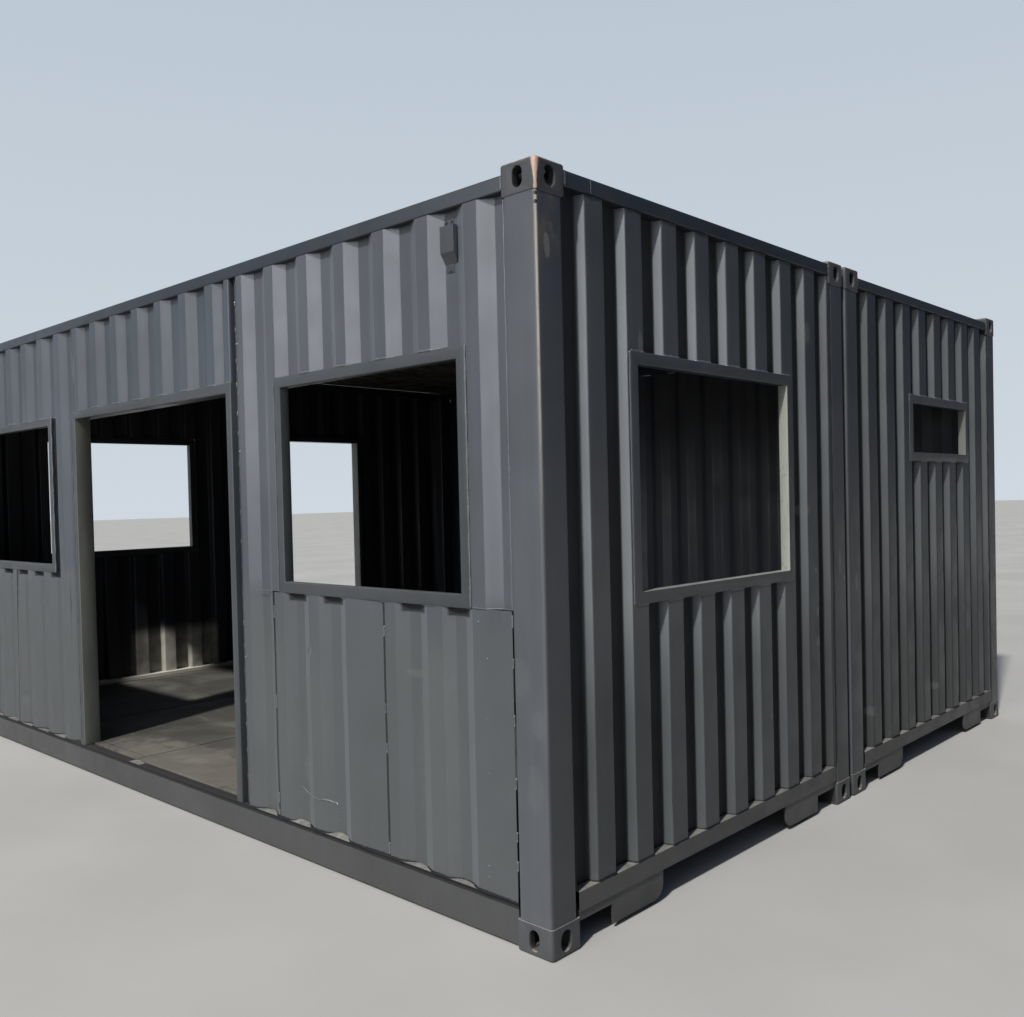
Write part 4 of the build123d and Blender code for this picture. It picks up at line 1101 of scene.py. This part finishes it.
# right of the door frame: a set-back closing strip with stitched edges
for z in np.arange(0.24, 2.78, 0.132):
    j = seams.rng.uniform(-0.02, 0.02)
    seams.run([(0.9985, FLAT_Y + 0.0010, z + j), (0.9985, FLAT_Y + 0.0010, z + j + 0.030)], (-0.5, -0.86, 0), 0.009, 0.0040, 0.004)
    seams.run([(0.9335, FLAT_Y + 0.0325, z + j + 0.05), (0.9335, FLAT_Y + 0.0325, z + j + 0.08)], (0.5, -0.86, 0), 0.008, 0.004, 0.004)
for z in (0.92, 1.94, 2.47):
    seams.blob((0.9975, FLAT_Y + 0.0020, z), (-0.3, -0.95, 0), 0.0085, 0.0060)
seams.run([(0.9985, FLAT_Y + 0.0008, 2.29), (0.9985, FLAT_Y + 0.0008, 0.19)], (-0.3, -0.95, 0), 0.0042, 0.0016, 0.008)
# near post and wall
seams.run([(WALL_X + 0.0002, FLAT_Y - 0.0005, 2.775), (WALL_X + 0.0002, FLAT_Y - 0.0005, PATCH_TOP)], (0.1, -1, 0), 0.0055, 0.0022)
seams.run([(-WALL_X - 0.0035, FLAT_Y - 0.0002, 2.775), (-WALL_X - 0.0035, FLAT_Y - 0.0002, 0.178)], (-0.1, -1, 0), 0.0105, 0.0035)
for s in (-1, 1):
    x = s * (WALL_X + 0.0035)
    seams.run([(x, 0.0002 - FLAT_Y, 2.775), (x, 0.0002 - FLAT_Y, 0.178)], (0.1 * s, 1, 0), 0.0105, 0.0035)
# stitches over the open joints of the patched sheets: (x, y, [(z top, z bottom)])
STITCHES = [
    (1.266, FLAT_Y + 0.0002, [(1.188, 1.134), (0.761, 0.703), (0.289, 0.245), (0.205, 0.186)]),
    (2.102, FLAT_Y + 0.0002, [(1.152, 1.110), (0.824, 0.786), (0.654, 0.617), (0.233, 0.186)]),
    (2.8595, FLAT_Y + 0.0002, [(1.245, 1.200), (1.085, 1.050), (0.875, 0.835), (0.640, 0.600), (0.440, 0.405), (0.330, 0.295)]),
]
for x, y, runs in STITCHES:
    for a, b in runs:
        seams.run([(x, y - 0.0006, a), (x, y - 0.0006, b)], (0, -1, 0), 0.0078, 0.0022, 0.004)
        seams.blob((x + 0.001, y - 0.0006, a - 0.002), (0, -1, 0), 0.0050, 0.0034)
        seams.blob((x - 0.001, y - 0.0006, b + 0.002), (0, -1, 0), 0.0048, 0.0030)
# joints along the tops of the patches, either side of the window
seams.run([(1.110, FLAT_Y - 0.0002, 1.262), (1.262, FLAT_Y - 0.0002, 1.262)], (0, -1, 0), 0.0050, 0.0013, 0.008)
seams.run(along(side_line(2.641, 2.858), 1.2625), (0, -1, 0), 0.0050, 0.0013, 0.008)
# spots burnt through by the tacks behind
for x, z, r in ((2.722, 1.073, 0.0042), (2.712, 0.842, 0.0038), (2.715, 0.635, 0.0040), (2.706, 0.279, 0.0046),
                (2.706, 0.237, 0.0046), (2.676, 1.21, 0.005), (1.80, 0.985, 0.0032)):
    seams.blob((x, FLAT_Y + 0.0002, z), (0, -1, 0), r, 0.0022)
# marks on the sheet left of the door, and the joint under the left window
WALL_LINE = side_line(-2.85, 2.85)


def wall_depth(x):
    return float(np.interp(x, [u for u, _ in WALL_LINE], [v for _, v in WALL_LINE]))


for x0, z0, x1, z1, w, h in ((-1.140, 1.245, -1.146, 0.750, 0.0040, 0.0014), (-1.995, 1.252, -2.026, 0.190, 0.0060, 0.0020)):
    seams.run([(x0 + (x1 - x0) * t / 12, FLAT_Y - 0.0003 + wall_depth(x0 + (x1 - x0) * t / 12), z0 + (z1 - z0) * t / 12)
               for t in range(13)], (0, -1, 0), w, h, 0.008)
for z in (1.12, 0.86, 0.61, 0.37):
    x = -1.995 - 0.031 * (1.252 - z) / 1.062
    seams.run([(x, FLAT_Y - 0.0005 + wall_depth(x), z + 0.016), (x, FLAT_Y - 0.0005 + wall_depth(x), z - 0.016)],
              (0, -1, 0), 0.0085, 0.0030, 0.004)
# a loose run of weld across the patched sheet
wander = [(1.432, 0.345), (1.452, 0.336), (1.470, 0.328), (1.486, 0.322), (1.52, 0.324), (1.56, 0.322), (1.60, 0.320),
          (1.64, 0.327), (1.675, 0.322), (1.700, 0.318), (1.716, 0.306)]


def patch_depth(x):
    line = PATCH_LEFT if x < 2.102 else PATCH_RIGHT
    return float(np.interp(x, [u for u, _ in line], [v for _, v in line]))


fine = []
for a, b in zip(wander[:-1], wander[1:]):
    for i in range(4):
        t = i / 4
        x, z = a[0] + (b[0] - a[0]) * t, a[1] + (b[1] - a[1]) * t
        fine.append((x, FLAT_Y - 0.0008 + patch_depth(x), z + 0.0015 * math.sin(x * 190)))
seams.run(fine, (0.1, -1, 0), 0.0065, 0.0032, 0.004, 0.006, 0.5)
for z in (0.292, 0.277, 0.262, 0.240, 0.222, 0.205):
    seams.blob((1.712 + 0.004 * math.sin(z * 300), FLAT_Y - 0.0008 + patch_depth(1.712), z), (0, -1, 0), 0.0030, 0.0022)
seams.make(WELD_PAINT)

# thick welds that close the corrugations at the bottom
feet = Beads("welds_at_wall_feet", 23)
for line in (side_line(1.001, 1.264), PATCH_LEFT, PATCH_RIGHT, side_line(L_WIN[1] + 0.002, DOOR[0] - 0.002),
             side_line(*L_WIN), side_line(-WALL_X, L_WIN[0])):
    feet.run(along(line, BOT_RAIL_Z1 + 0.0015), (0, -0.75, 0.66), 0.013, 0.0052, 0.007, 0.011, 0.5)
for unit in (-1, 1):
    mid = unit * (HALF_W - UNIT_W / 2)
    half = UNIT_W / 2 - POST_INSET - POST_W
    label = "front_right" if unit == -1 else "rear_right"
    feet.run(end_along(end_line(label, mid, mid - half + 0.002, mid + half - 0.002), SILL_Z1 + 0.0012), (0.75, 0, 0.66),
             0.011, 0.0048, 0.007, 0.010, 0.5)
    feet.run(end_along(end_line(label, mid, mid - half + 0.018, mid + half - 0.018), END_RAILS[unit][0] - 0.0012),
             (0.75, 0, -0.66), 0.009, 0.0040, 0.009, 0.010, 0.4)
    for s in (-1, 1):
        y = mid + s * half
        feet.run([(END_X + 0.001, y - s * 0.0005, 2.775), (END_X + 0.001, y - s * 0.0005, 0.214)],
                 (0.8, -0.6 * s, 0), 0.008, 0.0034, 0.009)
feet.make(SHADED_WELD)

# beads round the end openings
rims = Beads("welds_round_end_frames", 24)
for label in ("front_right", "front_left", "rear_right", "rear_left"):
    unit, sign, y0, y1, z0, z1 = ENDS[label]
    wide = 0.007 if sign == 1 else 0.013
    mid = unit * (HALF_W - UNIT_W / 2)
    rims.run(end_along(end_line(label, mid, y0 + 0.003, y1 - 0.003), z1 + 0.0015, sign), (0.7 * sign, 0, 0.7), 0.010, 0.0046)
    if z0 - SILL_Z1 > 0.01:
        rims.run(end_along(end_line(label, mid, y0 + 0.003, y1 - 0.003), z0 - 0.0015, sign), (0.7 * sign, 0, -0.7), 0.007, 0.003, 0.009)
    for y, s in ((y0, -1), (y1, 1)):
        rims.run([(sign * (END_X + 0.0005), y + s * 0.0012, z1), (sign * (END_X + 0.0005), y + s * 0.0012, z0)],
                 (0.7 * sign, 0.7 * s, 0), wide, 0.003, 0.008)
for label in ("front_left", "rear_left"):
    unit, sign, y0, y1, z0, z1 = ENDS[label]
    mid = unit * (HALF_W - UNIT_W / 2)
    half = UNIT_W / 2 - POST_INSET - POST_W
    for y, s, depth in ((y0, -1, end_line(label, mid, mid - half, y0)[-1][1]), (y1, 1, end_line(label, mid, y1, mid + half)[0][1])):
        x = sign * (END_X - depth + 0.0004)
        rims.run([(x, y + s * 0.002, z1), (x, y + s * 0.002, z0)], (sign, 0, 0), 0.016, 0.003, 0.008)
rims.make(WELD_PAINT)

# joints of the castings with posts and rails
corners = Beads("welds_at_castings", 25)
for sx in (1, -1):
    for unit in (-1, 1):
        for side in (0, 1):
            inset = POST_INSET + POST_W / 2 if side == 0 else UNIT_W - POST_INSET - POST_W / 2
            yc = unit * (HALF_W - inset)
            x1, x0 = HALF_L - POST_INSET, HALF_L - POST_INSET - POST_L
            outer = yc + (POST_W / 2) * (unit if side == 0 else -unit)
            other = yc - (POST_W / 2) * (unit if side == 0 else -unit)
            for z, up in ((CAST_Z, -1), (CAST_H, 1)):
                ring = [(sx * x0, outer, z), (sx * (x1 - 0.016), outer, z)]
                for k in range(1, 5):
                    a = math.pi / 2 * k / 4
                    dy = 0.016 * (1 - math.cos(a))
                    dx = 0.016 * (1 - math.sin(a))
                    ring.append((sx * (x1 - 0.016 + 0.016 * math.sin(a)), outer - math.copysign(dy, outer - yc), z))
                ring.append((sx * x1, other, z))
                for p, q in zip(ring[:-1], ring[1:]):
                    n = Vector(((p[0] + q[0]) / 2 - sx * (x0 + x1) / 2, (p[1] + q[1]) / 2 - yc, 0))
                    if abs(p[0] - q[0]) > 0.1:
                        n = Vector((0, n.y, 0))
                    if abs(p[1] - q[1]) > 0.1:
                        n = Vector((n.x, 0, 0))
                    n.normalize()
                    corners.run([p, q], (n.x, n.y, 0.5 * up), 0.0060, 0.0020, 0.006, 0.006, 0.35)
            # side and end rails meet the castings
            wall_y = unit * (HALF_W - 0.0045) if side == 0 else unit * (HALF_W - UNIT_W + 0.0045)
            n_y = unit if side == 0 else -unit
            corners.run([(sx * CAST_X, wall_y, RAIL_TOP_Z0 + 0.003), (sx * CAST_X, wall_y, RAIL_TOP_Z1 - 0.003)],
                        (-0.4 * sx, n_y, 0), 0.006, 0.0028)
            inner = yc - (CAST_W / 2 + (CAST_W - POST_W) / 2 - POST_INSET) * (unit if side == 0 else -unit)
            inner = unit * (HALF_W - (CAST_W if side == 0 else UNIT_W - CAST_W))
            low, high = END_RAILS[unit]
            corners.run([(sx * (HALF_L - 0.0045), inner, low + 0.004), (sx * (HALF_L - 0.0045), inner, high - 0.004)],
                        (sx, 0.3 * n_y * -1, 0), 0.008, 0.0038, 0.005, 0.008, 0.5)
# a joint in the front unit's end rail, and lumps where it meets the near casting
corners.run([(3.0252, -2.141, 2.821), (3.0252, -2.141, 2.877)], (1, 0, 0), 0.0062, 0.0022, 0.005)
corners.run([(3.0252, -2.292, 2.820), (3.0252, -2.292, 2.879)], (1, -0.2, 0), 0.0120, 0.0034, 0.005, 0.012, 0.7)
corners.make(WELD_PAINT)


# --------------------------------------------------- dirt lying on the ledges
def ledge_dirt():
    """Low heaps of blown dirt in the hollows of the wall, on the bottom rail."""
    rng = np.random.default_rng(77)
    verts, faces = [], []

    def heap(x0, x1, front, back, height, ground):
        xs = np.linspace(x0, x1, 22)
        nv, first = 8, len(verts)
        lumps = rng.normal(0, 1, (22, nv))
        for _ in range(2):
            lumps[1:-1] = (lumps[:-2] + lumps[1:-1] * 2 + lumps[2:]) / 4
        skew = rng.uniform(0.7, 1.4)
        for under in (0, 1):
            for i, x in enumerate(xs):
                s = i / 21
                swell = math.sin(math.pi * s ** skew) ** 1.3
                edge = back(x)
                for j in range(nv):
                    t = j / (nv - 1)
                    y = front + (edge - front) * t
                    rise = height * swell * (3 * t * t - 2 * t ** 3) ** 0.6 * (1 + 0.20 * lumps[i, j])
                    verts.append((x, y, ground - 0.0005 if under else ground + max(rise, 0.0) + 0.0002))
        n = 22 * nv
        for i in range(21):
            for j in range(nv - 1):
                a = first + i * nv + j
                faces.append((a, a + nv, a + nv + 1, a + 1))
                faces.append((a + n, a + n + 1, a + n + nv + 1, a + n + nv))
            a, b = first + i * nv, first + i * nv + nv - 1
            faces.append((a, a + n, a + n + nv, a + nv))
            faces.append((b, b + nv, b + n + nv, b + n))
        for j in range(nv - 1):
            a, b = first + j, first + 21 * nv + j
            faces.append((a, a + 1, a + n + 1, a + n))
            faces.append((b, b + n, b + n + 1, b + 1))

    def patched(x):
        return FLAT_Y + patch_depth(x) + 0.0012

    def plain(x):
        return FLAT_Y + wall_depth(x) + 0.0012
    heap(1.352, 1.512, -2.4532, patched, 0.014, BOT_RAIL_Z1)
    heap(1.634, 1.828, -2.4532, patched, 0.015, BOT_RAIL_Z1)
    heap(2.185, 2.372, -2.4532, patched, 0.006, BOT_RAIL_Z1)
    heap(2.480, 2.640, -2.4532, patched, 0.005, BOT_RAIL_Z1)
    for k in range(6, 21):
        c = SIDE["first"] - k * SIDE["pitch"]
        if c + 0.10 > DOOR[0] and c - 0.10 < 1.0 or c - 0.10 < -WALL_X:
            continue
        if not c - 0.10 > 1.264:
            heap(c - 0.098, c + 0.098, -2.4532, plain, rng.uniform(0.002, 0.006), BOT_RAIL_Z1)
    heap(-0.345, -0.215, -2.4500, lambda x: -2.4100, 0.007, BOT_RAIL_Z1)
    obj = new_mesh("dirt_on_ledges", verts, faces, 60.0)
    facing_out(obj)
    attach(obj, "root")
    f = Finish("dry_dirt")
    fine_grain = f.noise(160.0, 3.0, 0.6)
    cloud = f.noise(16.0, 3.0, 0.6)
    col = f.mix(f.span(cloud, 0.3, 0.7), (0.095, 0.095, 0.090), (0.17, 0.167, 0.155))
    col = f.mix(f.span(fine_grain, 0.52, 0.62), col, (0.09, 0.085, 0.075))
    give(obj, f.done(col, 0.93, f.bump(fine_grain, 0.6, 0.0015), specular=0.2))


ledge_dirt()


# ------------------------------------------------------------ vent fixings
def dome_bolts(name, places):
    """Hexagon heads with a small chamfer on a washer."""
    verts, faces = [], []
    for (x, y, z), normal, r in places:
        n = Vector(normal).normalized()
        a = n.orthogonal().normalized()
        b = n.cross(a)
        c = Vector((x, y, z))
        rings = [(r * 1.55, 0.0, 16), (r * 1.55, 0.0012, 16), (r * 1.02, 0.0014, 16)]
        base = len(verts)
        for rad, h, sides in rings:
            for k in range(sides):
                t = 2 * math.pi * k / sides
                verts.append(tuple(c + a * (rad * math.cos(t)) + b * (rad * math.sin(t)) + n * h))
        for q in range(2):
            for k in range(16):
                k2 = (k + 1) % 16
                faces.append((base + q * 16 + k, base + q * 16 + k2, base + (q + 1) * 16 + k2, base + (q + 1) * 16 + k))
        faces.append(tuple(base + 32 + k for k in range(16)))
        faces.append(tuple(base + k for k in range(15, -1, -1)))
        base = len(verts)
        levels = [(r, 0.0010), (r, 0.0045), (r * 0.86, 0.0058)]
        for rad, h in levels:
            for k in range(6):
                t = 2 * math.pi * (k + 0.3) / 6
                verts.append(tuple(c + a * (rad * math.cos(t)) + b * (rad * math.sin(t)) + n * h))
        for q in range(2):
            for k in range(6):
                k2 = (k + 1) % 6
                faces.append((base + q * 6 + k, base + q * 6 + k2, base + (q + 1) * 6 + k2, base + (q + 1) * 6 + k))
        faces.append(tuple(base + 12 + k for k in range(6)))
        faces.append(tuple(base + k for k in range(5, -1, -1)))
    obj = new_mesh(name, verts, faces, 20.0)
    facing_out(obj)
    obj.data.set_sharp_from_angle(angle=math.radians(25))
    return obj


places = []
for s in (-1, 1):
    for x, z in ((2.514, 2.762), (2.546, 2.762), (2.533, 2.572)):
        px = x + 0.007 if s == -1 else 0.077 - x
        places.append(((px, s * (HALF_W - SIDE_IN - SIDE["depth"] + 0.0025), z), (0, s, 0), 0.0062))
bolts = dome_bolts("vent_bolts", places)
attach(bolts, "root")
give(bolts, HOOD_PAINT)

# ------------------------------------------------------------------- stage
def studio_floor():
    mesh = bpy.data.meshes.new("studio_floor")
    s = 120.0
    mesh.from_pydata([(-s, -s, -0.0005), (s, -s, -0.0005), (s, s, -0.0005), (-s, s, -0.0005)], [], [(0, 1, 2, 3)])
    obj = bpy.data.objects.new("studio_floor", mesh)
    COLLECTION.objects.link(obj)
    f = Finish("pale_floor")
    cloud = f.noise(0.6, 4.0, 0.5)
    col = f.mix(f.span(cloud, 0.3, 0.7), (0.315, 0.31, 0.297), (0.350, 0.345, 0.332))
    f.done(col, 0.85, specular=0.2)
    mesh.materials.append(f.mat)
    obj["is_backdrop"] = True


studio_floor()

world = bpy.data.worlds.new("studio")
bpy.context.scene.world = world
bpy.context.scene.view_settings.view_transform = "Standard"
world.use_nodes = True
wt = world.node_tree
wt.nodes.clear()


def w_node(kind, **values):
    n = wt.nodes.new(kind)
    for k, v in values.items():
        setattr(n, k, v)
    return n


def w_put(value, socket):
    if isinstance(value, (int, float, tuple)):
        socket.default_value = value
    else:
        wt.links.new(value, socket)


def w_math(op, a, b=0.0, clamp=False):
    n = w_node("ShaderNodeMath", operation=op, use_clamp=clamp)
    w_put(a, n.inputs[0])
    w_put(b, n.inputs[1])
    return n.outputs[0]


def w_mix(fac, a, b, blend="MIX"):
    n = w_node("ShaderNodeMix", data_type="RGBA", blend_type=blend)
    for v, i in ((fac, 0), (a, 6), (b, 7)):
        w_put(v, n.inputs[i])
    return n.outputs[2]


w_dir = w_node("ShaderNodeTexCoord").outputs["Generated"]
w_sep = w_node("ShaderNodeSeparateXYZ")
w_put(w_dir, w_sep.inputs[0])
w_x, w_y, w_z = w_sep.outputs


def w_glow(direction, power):
    """Soft bright field round a direction, as a diffusing panel gives."""
    n = w_node("ShaderNodeVectorMath", operation="DOT_PRODUCT")
    w_put(w_dir, n.inputs[0])
    n.inputs[1].default_value = Vector(direction).normalized()
    return w_math("POWER", w_math("MAXIMUM", n.outputs["Value"], 0.0), float(power))


w_up = w_math("MULTIPLY", w_z, 1.6, clamp=True)
w_sky = w_mix(w_up, (0.07, 0.085, 0.11, 1), (0.05, 0.09, 0.18, 1))
w_side = w_math("MAXIMUM", w_math("MULTIPLY", w_x, -1.0), 0.0)
w_sky = w_mix(w_side, w_sky, (0.50, 0.55, 0.62, 1))
w_total = w_mix(1.0, w_sky, w_mix(w_glow((-0.03, -0.97, 0.20), 20), (0, 0, 0, 1), (5.2, 5.3, 5.5, 1)), "ADD")
w_total = w_mix(1.0, w_total, w_mix(w_glow((0.195, -0.673, 0.713), 8), (0, 0, 0, 1), (0.7, 0.7, 0.7, 1)), "ADD")
w_seen = w_mix(w_up, (0.62, 0.68, 0.74, 1), (0.45, 0.53, 0.62, 1))
w_path = w_node("ShaderNodeLightPath")
w_bg = w_node("ShaderNodeBackground")
w_put(w_mix(w_path.outputs["Is Camera Ray"], w_total, w_seen), w_bg.inputs["Color"])
w_out = w_node("ShaderNodeOutputWorld")
wt.links.new(w_bg.outputs[0], w_out.inputs[0])

key_data = bpy.data.lights.new("key", "SUN")
key_data.energy = 4.7
key_data.angle = math.radians(3.0)
key_data.color = (1.0, 0.97, 0.92)
key = bpy.data.objects.new("key", key_data)
key.rotation_mode = "QUATERNION"
key.rotation_quaternion = Vector((0.195, -0.673, 0.713)).to_track_quat("Z", "Y")
COLLECTION.objects.link(key)

lo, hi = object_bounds()
